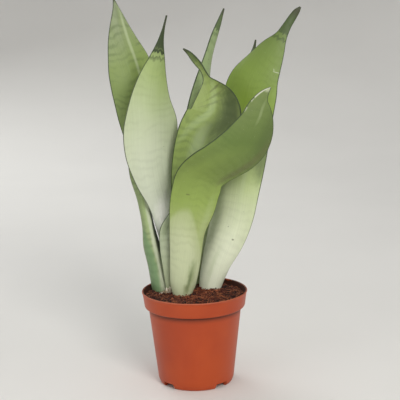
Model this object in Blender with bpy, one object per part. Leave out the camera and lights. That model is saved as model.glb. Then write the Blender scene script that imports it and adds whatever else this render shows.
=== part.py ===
"""Potted snake plant: eight stiff upright leaves growing from one underground stem in a nursery pot.

The frame: +Z is up, +X is to the right and -Y is the front.  The origin is the centre of the pot's
underside, where the pot stands.  Lengths in the tables are millimetres; MM turns them into metres.
"""
import math

import bmesh
import bpy
import numpy as np

MM = 0.001

# Driving dimensions, mm
RIM_RADIUS = 60.0
RIM_TOP = 106.7
BAND_RADIUS = 57.4  # outer wall at the lower edge of the rim band
BAND_BOTTOM = 90.6
BODY_TOP_RADIUS = 52.7
BODY_TOP = 86.6
BODY_LOW_RADIUS = 43.4
BODY_LOW = 6.0
FOOT_RADIUS = 40.4
FOOT_INNER_RADIUS = 37.6
WALL = 1.3
FLOOR_UNDER = 5.6
FLOOR_TOP = 7.2
HUB_RADIUS = 14.0
HUB_FLOOR = 1.6
POT_SEGMENTS = 48

NOTCH_TOP = 5.8
NOTCH_WIDTH = 17.0  # along the foot, at the floor
NOTCH_LEAN = 1.6  # how far each slanted side moves in towards the notch's top
NOTCH_TURNS = (-138.0, -48.0, 42.0, 132.0)  # degrees from the front, to the right
DRAIN_RADIUS = 3.5
DRAIN_CIRCLE = 27.0
DRAIN_COUNT = 8
DRAIN_SIDES = 12
CUT_MARGIN = 1.5  # how far a cutter runs past the wall that it goes through

GAP = 0.3  # clearance between pieces that touch
SOIL_EDGE = 99.6
SOIL_CROWN = 101.8
SOIL_RIPPLE = 0.35
RIPPLE_X = 0.21  # radians for each millimetre
RIPPLE_Y = 0.17

STEM_RADIUS = 5.2
STEM_HEIGHT = 72.5
STEM_SIDES = 8
LEAF_FOOT = 78.0  # every leaf starts here, just above the underground stem
SOCKET_TOP = 106.0
EDGE_THICKNESS = 1.3
LEAF_RINGS = 25
LEAF_ACROSS = 7
BLADE_THICKNESS = 2.6  # at the midrib
BASE_REACH = 0.16  # share of the length over which the thick base fades away
TIP_START = 0.85  # share of the length where the midrib starts to thin
TIP_THINNING = 0.5
EDGE_SHARE = 0.6  # thickest that a margin may be, as a share of the midrib
EDGE_POWER = 2.2  # how late the blade thins towards its margins
EDGE_BULGE = 0.3  # roundness of the margins, as a share of their thickness
SMALLEST_HALF = 0.3
TANGENT_REACH = 12.0

# Each leaf is a list of cross-sections: height, x, y of the midrib, width across, turn and cup.
# Turn is the azimuth of the width in degrees: 0 faces the front, positive faces to the right.
# Cup is the slope of the blade at its margins in degrees: positive curls towards the front.
# Crease is 1 for an even curve and small for a fold along the midrib.
LEAVES = {
    "leaf_back_left": {
        "crease": 0.4,
        "base_thickness": 5.5,
        "sections": (
            (78, -36.0, 13, 17, 8, -48),
            (102, -38.5, 13, 25, 8, -58),
            (130, -43.5, 15, 27, 2, -62),
            (155, -48.6, 14.0, 29.5, 0, -67),
            (180, -53.3, 17.0, 21, -6, -70),
            (205, -57.2, 24.0, 21.5, -8, -66),
            (235, -59.3, 31, 29, 8, -50),
            (265, -56.0, 37, 38, 20, -38),
            (300, -56.0, 44, 56, 30, -30),
            (335, -57.5, 48, 67, 36, -26),
            (362, -64.0, 51, 63, 38, -25),
            (390, -73.5, 53, 42, 38, -25),
            (412, -79.5, 55, 20, 36, -22),
            (424, -82.5, 56, 8, 34, -12),
            (434, -85.0, 57, 1.5, 34, 0),
        ),
    },
    "leaf_front_left": {
        "crease": 1.0,
        "base_thickness": 6.5,
        "sections": (
            (78, -18.0, 34, 14, 0, -40),
            (102, -20.0, 35, 18, 4, -45),
            (142, -24.5, 29, 22, 10, -40),
            (175, -29.0, 22.5, 27, 15, -34),
            (203, -34.0, 15, 32, 20, -28),
            (233, -40.0, 9, 48, 22, -24),
            (265, -43.0, 5, 63, 22, -24),
            (295, -42.5, 3, 65, 22, -24),
            (323, -43.0, 1, 48, 20, -24),
            (350, -39.5, 0, 31, 18, -22),
            (370, -35.0, 0, 17, 16, -18),
            (386, -31.5, -1, 7, 14, -10),
            (400, -28.0, -2, 2.6, 10, 0),
            (415, -24.0, -4, 1.4, 10, 0),
        ),
    },
    "leaf_centre": {
        "crease": 1.0,
        "base_thickness": 6.0,
        "sections": (
            (78, -7.0, 22, 13, 0, -30),
            (102, -8.0, 21, 18, 0, -30),
            (150, -8.5, 17, 25, 0, -5),
            (198, -6.0, 12, 36, -4, 15),
            (244, 1.5, 6, 50, -10, 25),
            (283, 15.5, 3, 62, -13, 28),
            (307, 28.5, 4, 63, -14, 30),
            (327, 25.5, 8, 44, -16, 32),
            (338, 21.5, 11, 22, -18, 34),
            (344, 19.0, 13, 10, -20, 34),
            (350, 16.5, 15, 6.5, -24, 34),
            (356, 13.5, 17, 6.5, -28, 36),
            (362, 9.5, 18, 8.5, -30, 40),
            (368, 4.5, 18.5, 8, -24, 40),
            (373, -0.5, 18.5, 5, -14, 30),
            (378, -7.0, 18, 1.4, -10, 0),
        ),
    },
    "leaf_front": {
        "crease": 1.0,
        "base_thickness": 7.5,
        "sections": (
            (78, -14.0, 0, 15, 0, -45),
            (102, -14.0, -8, 25, 0, -50),
            (113, -13.0, -9, 32, 0, -48),
            (126, -11.5, -9, 35, 0, -44),
            (148, -9.0, -9, 38, 2, -38),
            (175, -6.3, -12, 42, 4, -28),
            (201, -0.5, -16, 52, 6, -22),
            (222, 4.5, -20, 56, 10, -18),
            (237, 10.0, -25, 60, 13, -16),
            (246, 21.0, -29, 68, 14, -15),
            (255, 34.5, -33, 66, 14, -14),
            (265, 47.5, -36.5, 62, 14, -14),
            (277, 58.5, -39.5, 57, 13, -14),
            (292, 66.5, -42.5, 48, 11, -14),
            (308, 71.5, -44.5, 34, 8, -12),
            (320, 73.5, -45, 23, 4, -10),
            (328, 76.0, -45, 13, 2, -8),
            (333, 79.5, -45, 8, 0, -6),
            (338, 85.0, -44, 1.6, 0, 0),
        ),
    },
    "leaf_young": {
        "crease": 1.0,
        "base_thickness": 4.0,
        "sections": (
            (78, -28.0, 8, 7, 0, -30),
            (101, -28.5, 9, 8, 0, -30),
            (127, -29.4, 9, 12, 0, -25),
            (154, -30.0, 7, 17, 0, -20),
            (175, -27.2, 5, 20.5, 4, -20),
            (192, -21.0, 3, 13, 4, -20),
            (205, -16.0, 1, 6, 0, -10),
            (213, -12.0, 0, 1.6, 0, 0),
        ),
    },
    "leaf_back_centre": {
        "crease": 0.8,
        "base_thickness": 6.0,
        "sections": (
            (78, -2.0, 36, 13, 0, -30),
            (102, -0.5, 38, 22, 0, -30),
            (150, 1.0, 39.5, 27, 10, -25),
            (203, 0.0, 41, 27, 25, -20),
            (261, 3.0, 43, 33, 40, -16),
            (307, 9.0, 45, 33, 48, -14),
            (341, 15.5, 47, 27, 52, -12),
            (375, 24.0, 48, 15, 54, -10),
            (391, 29.0, 49, 11, 50, -8),
            (406, 34.5, 50, 6, 40, -5),
            (421, 40.0, 51, 1.4, 30, 0),
        ),
    },
    "leaf_right": {
        "crease": 1.0,
        "base_thickness": 7.5,
        "sections": (
            (78, 17.0, 21, 17, 0, -45),
            (100, 18.0, 18, 28, 0, -50),
            (129, 24.5, 18, 36, -4, -42),
            (159, 35.5, 20, 46, -10, -32),
            (187, 44.0, 22.5, 51, -16, -26),
            (218, 49.0, 25, 56, -20, -22),
            (253, 54.5, 26, 60, -22, -20),
            (287, 58.5, 28, 65, -24, -20),
            (314, 63.0, 30, 66, -24, -20),
            (342, 71.0, 32, 60, -22, -20),
            (361, 83.5, 34, 44, -20, -20),
            (377, 94.5, 35, 29, -16, -20),
            (390, 104.0, 36, 13.5, -10, -20),
            (400, 110.0, 37, 9.5, -6, -20),
            (411, 117.5, 38, 8, 0, -20),
            (417, 122.0, 38, 6, 0, -20),
            (421, 125.5, 38, 1.6, 0, 0),
        ),
    },
    "leaf_back_right": {
        "crease": 1.0,
        "base_thickness": 5.0,
        "sections": (
            (78, 14.0, 42, 10, 0, -20),
            (100, 16.0, 44, 13, -6, -20),
            (154, 22.0, 49, 21, -16, -20),
            (213, 32.0, 53, 30, -26, -18),
            (272, 44.0, 56, 36, -32, -16),
            (323, 57.0, 56, 29, -30, -14),
            (352, 68.0, 55, 14, -20, -10),
            (367, 71.5, 54, 6, -10, -5),
            (376, 74.0, 53, 3, 0, 0),
            (385, 75.8, 52, 1.4, 0, 0),
        ),
    },
}

# The order in which the underground stem passes below the leaves
STEM_ROUTE = (
    "leaf_back_left",
    "leaf_young",
    "leaf_front",
    "leaf_centre",
    "leaf_front_left",
    "leaf_back_centre",
    "leaf_back_right",
    "leaf_right",
)

# Colour, roughness and metallic value of each material
MATERIALS = {
    "pot": ((0.42, 0.075, 0.029, 1.0), 0.42, 0.0),
    "potting_mix": ((0.07, 0.026, 0.013, 1.0), 0.95, 0.0),
    "rhizome": ((0.45, 0.30, 0.13, 1.0), 0.60, 0.0),
    "leaf": ((0.27, 0.36, 0.15, 1.0), 0.45, 0.0),
}


def clear_scene():
    """Removes every object that the scene starts with."""
    for found in list(bpy.data.objects):
        bpy.data.objects.remove(found, do_unlink=True)


def make_material(name):
    """Returns a Principled material with the values that MATERIALS gives for the name."""
    colour, roughness, metallic = MATERIALS[name]
    material = bpy.data.materials.new(name)
    material.use_nodes = True
    shader = material.node_tree.nodes["Principled BSDF"]
    shader.inputs["Base Color"].default_value = colour
    shader.inputs["Roughness"].default_value = roughness
    shader.inputs["Metallic"].default_value = metallic
    material.diffuse_color = colour
    return material


def add_object(name, points, faces, material):
    """Makes one closed, outward-facing object from points in millimetres."""
    mesh = bpy.data.meshes.new(name)
    mesh.from_pydata((np.asarray(points) * MM).tolist(), [], faces)
    work = bmesh.new()
    work.from_mesh(mesh)
    bmesh.ops.recalc_face_normals(work, faces=work.faces)
    work.to_mesh(mesh)
    work.free()
    mesh.shade_smooth()
    mesh.set_sharp_from_angle(angle=math.radians(35.0))
    placed = bpy.data.objects.new(name, mesh)
    bpy.context.scene.collection.objects.link(placed)
    if material is not None:
        mesh.materials.append(material)
    return placed


def make_guide(placed):
    """Marks an object as a cutter: drawn as wires and left out of the model."""
    placed.hide_render = True
    placed.display_type = "WIRE"
    return placed


def cut(target, cutters):
    """Takes the cutters' volume away from the target in one step."""
    group = bpy.data.collections.new(target.name + "_cutters")
    bpy.context.scene.collection.children.link(group)
    for cutter in cutters:
        bpy.context.scene.collection.objects.unlink(cutter)
        group.objects.link(make_guide(cutter))
    modifier = target.modifiers.new("cuts", "BOOLEAN")
    modifier.operation = "DIFFERENCE"
    modifier.solver = "EXACT"
    modifier.operand_type = "COLLECTION"
    modifier.collection = group


def ring_faces(rings, around):
    """Faces of a tube of rings: quads between neighbours and one face at each end."""
    faces = []
    for ring in range(rings - 1):
        for step in range(around):
            after = (step + 1) % around
            low = ring * around
            high = low + around
            faces.append((low + step, low + after, high + after, high + step))
    faces.append(tuple(range(around))[::-1])
    faces.append(tuple(range((rings - 1) * around, rings * around)))
    return faces


def turned_solid(profile, segments):
    """Points and faces of a profile of (radius, height) turned once about the Z axis.

    The profile starts and ends on the axis, where its end points become single poles.
    """
    angles = np.linspace(0.0, 2.0 * math.pi, segments, endpoint=False)
    points = [(0.0, 0.0, profile[0][1])]
    for radius, height in profile[1:-1]:
        for angle in angles:
            points.append((radius * math.cos(angle), radius * math.sin(angle), height))
    points.append((0.0, 0.0, profile[-1][1]))
    last = len(points) - 1
    faces = []
    rings = len(profile) - 2
    for step in range(segments):
        after = (step + 1) % segments
        faces.append((0, 1 + after, 1 + step))
        top = 1 + (rings - 1) * segments
        faces.append((last, top + step, top + after))
        for ring in range(rings - 1):
            low = 1 + ring * segments
            high = low + segments
            faces.append((low + step, low + after, high + after, high + step))
    return points, faces


def smooth_curve(knots, values, at):
    """Values of a smooth curve through the knots, read at the positions in at."""
    knots = np.asarray(knots, float)
    values = np.asarray(values, float)
    gaps = np.diff(knots)
    slopes = np.diff(values, axis=0) / gaps[:, None]
    tangents = np.empty_like(values)
    tangents[0] = slopes[0]
    tangents[-1] = slopes[-1]
    before = gaps[:-1, None]
    beyond = gaps[1:, None]
    tangents[1:-1] = (slopes[:-1] * beyond + slopes[1:] * before) / (before + beyond)
    cell = np.clip(np.searchsorted(knots, at, side="right") - 1, 0, len(knots) - 2)
    gap = gaps[cell][:, None]
    t = ((at - knots[cell]) / gaps[cell])[:, None]
    start = (1 + 2 * t) * (1 - t) ** 2 * values[cell]
    start += t * (1 - t) ** 2 * gap * tangents[cell]
    end = t * t * (3 - 2 * t) * values[cell + 1]
    end += t * t * (t - 1) * gap * tangents[cell + 1]
    return start + end


def leaf_surface(leaf, rings, across):
    """The middle surface of a leaf, its normals, and its thickness, on a grid of rings by across.

    Each ring is square to the midrib's run from TANGENT_REACH before it to TANGENT_REACH after it.
    Across the width, the blade's slope grows from the midrib to the margin as
    cup * tanh(v / crease) / tanh(1 / crease), and the section is the sum of those slopes.
    """
    table = np.array(leaf["sections"], float)
    spine = table[:, [1, 2, 0]]
    steps = np.linalg.norm(np.diff(spine, axis=0), axis=1)
    knots = np.concatenate([[0.0], np.cumsum(steps)])
    along = np.linspace(0.0, 1.0, rings)
    at = knots[-1] * along
    mid = smooth_curve(knots, spine, at)
    shape = smooth_curve(knots, table[:, 3:], at)
    half = np.maximum(shape[:, 0] / 2, SMALLEST_HALF)
    turn = np.radians(shape[:, 1])
    cup = np.radians(shape[:, 2])
    ahead = smooth_curve(knots, spine, np.minimum(at + TANGENT_REACH, knots[-1]))
    behind = smooth_curve(knots, spine, np.maximum(at - TANGENT_REACH, 0.0))
    tangent = ahead - behind
    tangent /= np.linalg.norm(tangent, axis=1)[:, None]
    wide = np.stack([np.cos(turn), np.sin(turn), np.zeros(rings)], axis=-1)
    wide -= np.sum(wide * tangent, axis=1)[:, None] * tangent
    wide /= np.linalg.norm(wide, axis=1)[:, None]
    front = np.cross(wide, tangent)
    crease = leaf["crease"]
    fine = np.linspace(0.0, 1.0, 4 * (across - 1) + 1)
    slope = cup[:, None] * (np.tanh(fine / crease) / math.tanh(1 / crease))[None]
    between = (slope[:, 1:] + slope[:, :-1]) / 2
    size = fine[1]
    reach = np.concatenate([np.zeros((rings, 1)), np.cumsum(np.cos(between) * size, axis=1)], axis=1)
    rise = np.concatenate([np.zeros((rings, 1)), np.cumsum(np.sin(between) * size, axis=1)], axis=1)
    v = np.linspace(-1.0, 1.0, across)
    pick = np.rint(np.abs(v) * (len(fine) - 1)).astype(int)
    side = np.sign(v)
    x = reach[:, pick] * side * half[:, None]
    y = rise[:, pick] * half[:, None]
    tilt = slope[:, pick] * side
    points = mid[:, None] + x[..., None] * wide[:, None] + y[..., None] * front[:, None]
    normals = np.cos(tilt)[..., None] * front[:, None] - np.sin(tilt)[..., None] * wide[:, None]
    extra = leaf["base_thickness"] - BLADE_THICKNESS
    middle = BLADE_THICKNESS + extra * np.exp(-((along / BASE_REACH) ** 2))
    middle *= 1 - TIP_THINNING * np.clip((along - TIP_START) / (1 - TIP_START), 0, 1)
    edge = np.minimum(EDGE_THICKNESS, middle * EDGE_SHARE)
    across_share = 1 - np.abs(v) ** EDGE_POWER
    thickness = edge[:, None] + (middle - edge)[:, None] * across_share[None]
    return points, normals, thickness


def leaf_solid(leaf, extra=0.0):
    """Points and faces of a closed leaf, fattened by extra millimetres on every side."""
    points, normals, thickness = leaf_surface(leaf, LEAF_RINGS, LEAF_ACROSS)
    half = thickness[..., None] / 2 + extra
    front = points + normals * half
    back = points - normals * half
    outward_left = points[:, 0] - points[:, 1]
    outward_left /= np.linalg.norm(outward_left, axis=1)[:, None]
    outward_right = points[:, -1] - points[:, -2]
    outward_right /= np.linalg.norm(outward_right, axis=1)[:, None]
    bulge = EDGE_BULGE * thickness[:, :1] + extra
    left = (points[:, 0] + outward_left * bulge)[:, None]
    right = (points[:, -1] + outward_right * bulge)[:, None]
    rings = np.concatenate([front, right, back[:, ::-1], left], axis=1)
    rings[0, :, 2] = LEAF_FOOT
    return rings.reshape(-1, 3), ring_faces(rings.shape[0], rings.shape[1])


def socket_cutter(name, leaf):
    """A leaf's buried end, GAP larger all round and run a little deeper, up to above the soil."""
    solid, _ = leaf_solid(leaf, GAP)
    around = 2 * LEAF_ACROSS + 2
    rings = solid.reshape(LEAF_RINGS, around, 3)
    keep = 1 + int(np.argmax(rings[:, :, 2].min(axis=1) > SOCKET_TOP))
    rings = rings[:keep]
    rings[0, :, 2] -= 2 * GAP
    return add_object(name, rings.reshape(-1, 3), ring_faces(keep, around), None)


def pot_profile():
    """The pot's section as (radius, height), from the underside's centre round to the inner floor's."""
    inner_low = BODY_LOW_RADIUS - WALL - 0.4
    return (
        (0.0, 0.0),
        (HUB_RADIUS, 0.0),
        (HUB_RADIUS + 2.4, FLOOR_UNDER),
        (FOOT_INNER_RADIUS - 1.0, FLOOR_UNDER),
        (FOOT_INNER_RADIUS, 0.0),
        (FOOT_RADIUS, 0.0),
        (FOOT_RADIUS + 1.1, 0.7),
        (BODY_LOW_RADIUS - 0.5, 4.0),
        (BODY_LOW_RADIUS, BODY_LOW),
        (BODY_TOP_RADIUS, BODY_TOP),
        (BODY_TOP_RADIUS + 0.8, BODY_TOP + 0.9),
        (BAND_RADIUS - 1.3, BODY_TOP + 1.9),
        (BAND_RADIUS - 0.3, BODY_TOP + 2.7),
        (BAND_RADIUS, BAND_BOTTOM),
        (RIM_RADIUS - 0.7, RIM_TOP - 2.2),
        (RIM_RADIUS, RIM_TOP - 1.5),
        (RIM_RADIUS, RIM_TOP - 0.6),
        (RIM_RADIUS - 0.6, RIM_TOP),
        (RIM_RADIUS - 1.4, RIM_TOP),
        (RIM_RADIUS - 2.0, RIM_TOP - 0.6),
        (BAND_RADIUS - WALL, BAND_BOTTOM),
        (BODY_TOP_RADIUS + 0.3, BODY_TOP + 2.2),
        (BODY_TOP_RADIUS - WALL, BODY_TOP - 0.4),
        (inner_low, FLOOR_TOP + 1.4),
        (inner_low - 1.4, FLOOR_TOP),
        (HUB_RADIUS + 1.0, FLOOR_TOP),
        (HUB_RADIUS - 1.0, HUB_FLOOR),
        (0.0, HUB_FLOOR),
    )


def build_pot(material):
    """The pot: a turned wall with a banded rim, four feet and a ring of drain holes."""
    points, faces = turned_solid(pot_profile(), POT_SEGMENTS)
    pot = add_object("pot", points, faces, material)
    inner = FOOT_INNER_RADIUS - 3.0
    outer = BODY_LOW_RADIUS + 4.0
    low = NOTCH_WIDTH / 2 + NOTCH_LEAN * 0.2
    high = NOTCH_WIDTH / 2 - NOTCH_LEAN
    cutters = []
    for index, turn in enumerate(NOTCH_TURNS):
        angle = math.radians(turn)
        out = np.array((math.sin(angle), -math.cos(angle), 0.0))
        along = np.array((math.cos(angle), math.sin(angle), 0.0))
        corners = []
        for radius in (inner, outer):
            for across, height in ((-low, -1.0), (low, -1.0), (high, NOTCH_TOP), (-high, NOTCH_TOP)):
                corners.append(out * radius + along * across + np.array((0.0, 0.0, height)))
        cutters.append(add_object("notch_cutter_%d" % index, corners, ring_faces(2, 4), None))
    for index in range(DRAIN_COUNT):
        angle = 2 * math.pi * (index + 0.5) / DRAIN_COUNT
        centre = (DRAIN_CIRCLE * math.sin(angle), -DRAIN_CIRCLE * math.cos(angle))
        rings = []
        for height in (FLOOR_UNDER - CUT_MARGIN, FLOOR_TOP + CUT_MARGIN):
            for step in range(DRAIN_SIDES):
                turn = 2 * math.pi * step / DRAIN_SIDES
                x = centre[0] + DRAIN_RADIUS * math.cos(turn)
                y = centre[1] + DRAIN_RADIUS * math.sin(turn)
                rings.append((x, y, height))
        faces = ring_faces(2, DRAIN_SIDES)
        cutters.append(add_object("drain_cutter_%d" % index, rings, faces, None))
    cut(pot, cutters)
    return pot


def soil_profile():
    """The potting mix's section, GAP inside the pot's inner wall and crowned at the top."""
    inner_low = BODY_LOW_RADIUS - WALL - 0.4
    rise = SOIL_CROWN - SOIL_EDGE
    return (
        (0.0, HUB_FLOOR + GAP),
        (HUB_RADIUS - 1.0 - GAP, HUB_FLOOR + GAP),
        (HUB_RADIUS + 1.0 - GAP, FLOOR_TOP + GAP),
        (inner_low - 1.4 - GAP, FLOOR_TOP + GAP),
        (inner_low - GAP, FLOOR_TOP + 1.4 + GAP),
        (BODY_TOP_RADIUS - WALL - GAP, BODY_TOP - 0.4),
        (BODY_TOP_RADIUS + 0.3 - GAP, BODY_TOP + 2.2 + GAP),
        (BAND_RADIUS - WALL - GAP, BAND_BOTTOM + 0.2),
        (BAND_RADIUS - WALL + 0.9, SOIL_EDGE),
        (52.0, SOIL_EDGE + 0.35 * rise),
        (42.0, SOIL_EDGE + 0.65 * rise),
        (26.0, SOIL_EDGE + 0.9 * rise),
        (0.0, SOIL_CROWN),
    )


def build_soil(material, cutters):
    """The potting mix, with a socket for each leaf and a tunnel for the underground stem."""
    points, faces = turned_solid(soil_profile(), POT_SEGMENTS)
    points = np.array(points)
    top = points[:, 2] > SOIL_EDGE + 0.1
    ripple = np.sin(points[:, 0] * RIPPLE_X + 0.6) * np.sin(points[:, 1] * RIPPLE_Y + 1.1)
    points[top, 2] += SOIL_RIPPLE * ripple[top]
    soil = add_object("potting_mix", points, faces, material)
    cut(soil, cutters)
    return soil


def stem_points(radius):
    """Points of a tube that winds below the leaves in STEM_ROUTE."""
    feet = [LEAVES[name]["sections"][0] for name in STEM_ROUTE]
    knots = [(row[1], row[2], STEM_HEIGHT) for row in feet]
    distance = [0.0]
    for first, second in zip(knots, knots[1:]):
        distance.append(distance[-1] + math.dist(first, second))
    rings = 2 * len(knots) + 11
    at = np.linspace(0.0, distance[-1], rings)
    mid = smooth_curve(distance, knots, at)
    tangent = np.gradient(mid, at, axis=0)
    tangent /= np.linalg.norm(tangent, axis=1)[:, None]
    up = np.array((0.0, 0.0, 1.0))
    side = np.cross(tangent, up)
    side /= np.linalg.norm(side, axis=1)[:, None]
    turns = np.linspace(0.0, 2 * math.pi, STEM_SIDES, endpoint=False) + math.pi / STEM_SIDES
    reach = radius / math.cos(math.pi / STEM_SIDES)
    circle = np.cos(turns)[None, :, None] * side[:, None] + np.sin(turns)[None, :, None] * up
    points = mid[:, None] + reach * circle
    return points.reshape(-1, 3), ring_faces(rings, STEM_SIDES)


def main():
    """Builds every piece of the plant and its pot."""
    clear_scene()
    leaf_material = make_material("leaf")
    build_pot(make_material("pot"))
    for name, leaf in LEAVES.items():
        points, faces = leaf_solid(leaf)
        add_object(name, points, faces, leaf_material)
    points, faces = stem_points(STEM_RADIUS)
    add_object("rhizome", points, faces, make_material("rhizome"))
    points, faces = stem_points(STEM_RADIUS + 2 * GAP)
    cutters = [add_object("stem_cutter", points, faces, None)]
    cutters += [socket_cutter("socket_" + name, leaf) for name, leaf in LEAVES.items()]
    build_soil(make_material("potting_mix"), cutters)


main()
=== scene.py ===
"""Looks of a potted snake plant: waxy leaves, loose potting mix and a moulded nursery pot.

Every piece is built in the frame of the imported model, in metres: +Z is up, +X is to the right
and -Y is the front.  Tables are in millimetres and become metres where a mesh is made.
"""

import logging
import math
from collections.abc import Sequence
from dataclasses import dataclass, field
from enum import Enum

import bmesh
import bpy
import numpy as np
from mathutils import Matrix


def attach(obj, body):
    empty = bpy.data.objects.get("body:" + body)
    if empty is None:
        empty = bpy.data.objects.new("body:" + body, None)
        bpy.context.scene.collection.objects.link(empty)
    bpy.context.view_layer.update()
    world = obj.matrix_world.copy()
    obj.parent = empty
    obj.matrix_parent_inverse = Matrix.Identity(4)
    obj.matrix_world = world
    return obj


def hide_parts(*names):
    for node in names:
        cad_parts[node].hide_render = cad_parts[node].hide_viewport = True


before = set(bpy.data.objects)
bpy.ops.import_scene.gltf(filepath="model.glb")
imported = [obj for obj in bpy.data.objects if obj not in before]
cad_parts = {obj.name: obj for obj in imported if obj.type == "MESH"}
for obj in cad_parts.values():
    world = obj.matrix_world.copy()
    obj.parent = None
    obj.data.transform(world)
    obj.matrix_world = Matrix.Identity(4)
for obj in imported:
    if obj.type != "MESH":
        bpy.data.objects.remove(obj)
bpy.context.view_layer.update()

LOG = logging.getLogger("snake_plant")
MM = 0.001
BODY = "root"

# The potting mix's surface, mm
SOIL_RADII = (0.0, 26.0, 42.0, 52.0, 57.0)
SOIL_HEIGHTS = (101.8, 101.58, 101.03, 100.37, 99.6)
SOIL_LIMIT = 56.2
SOIL_RIPPLE = 0.35
RIPPLE_X = 0.21  # radians for each millimetre
RIPPLE_Y = 0.17
NEAR_SOIL = (97.0, 112.0)  # heights between which a leaf counts as near the soil
LEAF_FEET_TOP = 105.0  # grains keep clear of the leaves below this height

Array = np.ndarray
Colour = tuple[float, float, float]
Section = tuple[float, float, float, float, float, float]


def srgb(code: str) -> Colour:
    """Linear colour of a six-digit hex code.

    Each channel c becomes ((c + 0.055) / 1.055) ** 2.4, the usual screen curve.

    Args:
        code: Red, green and blue as hex digits.

    Returns:
        The three linear channels.
    """
    channels = np.array([int(code[i : i + 2], 16) for i in (0, 2, 4)]) / 255.0
    linear = np.where(channels <= 0.04045, channels / 12.92, ((channels + 0.055) / 1.055) ** 2.4)
    return float(linear[0]), float(linear[1]), float(linear[2])


# ---------------------------------------------------------------- shader maths


class Wire:
    """One output socket, so that shader values can be written as expressions."""

    def __init__(self, graph: "Graph", socket: bpy.types.NodeSocket) -> None:
        """Keeps the socket and the graph that it belongs to."""
        self.graph = graph
        self.socket = socket

    def _with(self, operation: str, *terms: "Wire | float") -> "Wire":
        """Adds one Math node to this value's graph."""
        return self.graph.math(operation, *terms)

    def __add__(self, other: "Wire | float") -> "Wire":
        """Sum."""
        return self._with("ADD", self, other)

    def __radd__(self, other: float) -> "Wire":
        """Sum with a number on the left."""
        return self._with("ADD", other, self)

    def __sub__(self, other: "Wire | float") -> "Wire":
        """Difference."""
        return self._with("SUBTRACT", self, other)

    def __rsub__(self, other: float) -> "Wire":
        """Difference with a number on the left."""
        return self._with("SUBTRACT", other, self)

    def __mul__(self, other: "Wire | float") -> "Wire":
        """Product."""
        return self._with("MULTIPLY", self, other)

    def __rmul__(self, other: float) -> "Wire":
        """Product with a number on the left."""
        return self._with("MULTIPLY", other, self)

    def __truediv__(self, other: "Wire | float") -> "Wire":
        """Quotient."""
        return self._with("DIVIDE", self, other)

    def __rtruediv__(self, other: float) -> "Wire":
        """Quotient with a number on the left."""
        return self._with("DIVIDE", other, self)

    def __abs__(self) -> "Wire":
        """Size without sign."""
        return self._with("ABSOLUTE", self)

    def step(self, low: float, high: float) -> "Wire":
        """Smooth step: 0 at low, 1 at high, easing as 3t^2 - 2t^3 between them.

        Args:
            low: Where the step starts.
            high: Where the step ends; it may be below low, for a falling step.

        Returns:
            The step's value.
        """
        if high < low:
            return 1.0 - self.step(high, low)
        settings = {"interpolation_type": "SMOOTHSTEP"}
        inputs = {"Value": self, "From Min": low, "From Max": high}
        return self.graph.value("ShaderNodeMapRange", settings, inputs)


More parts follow.
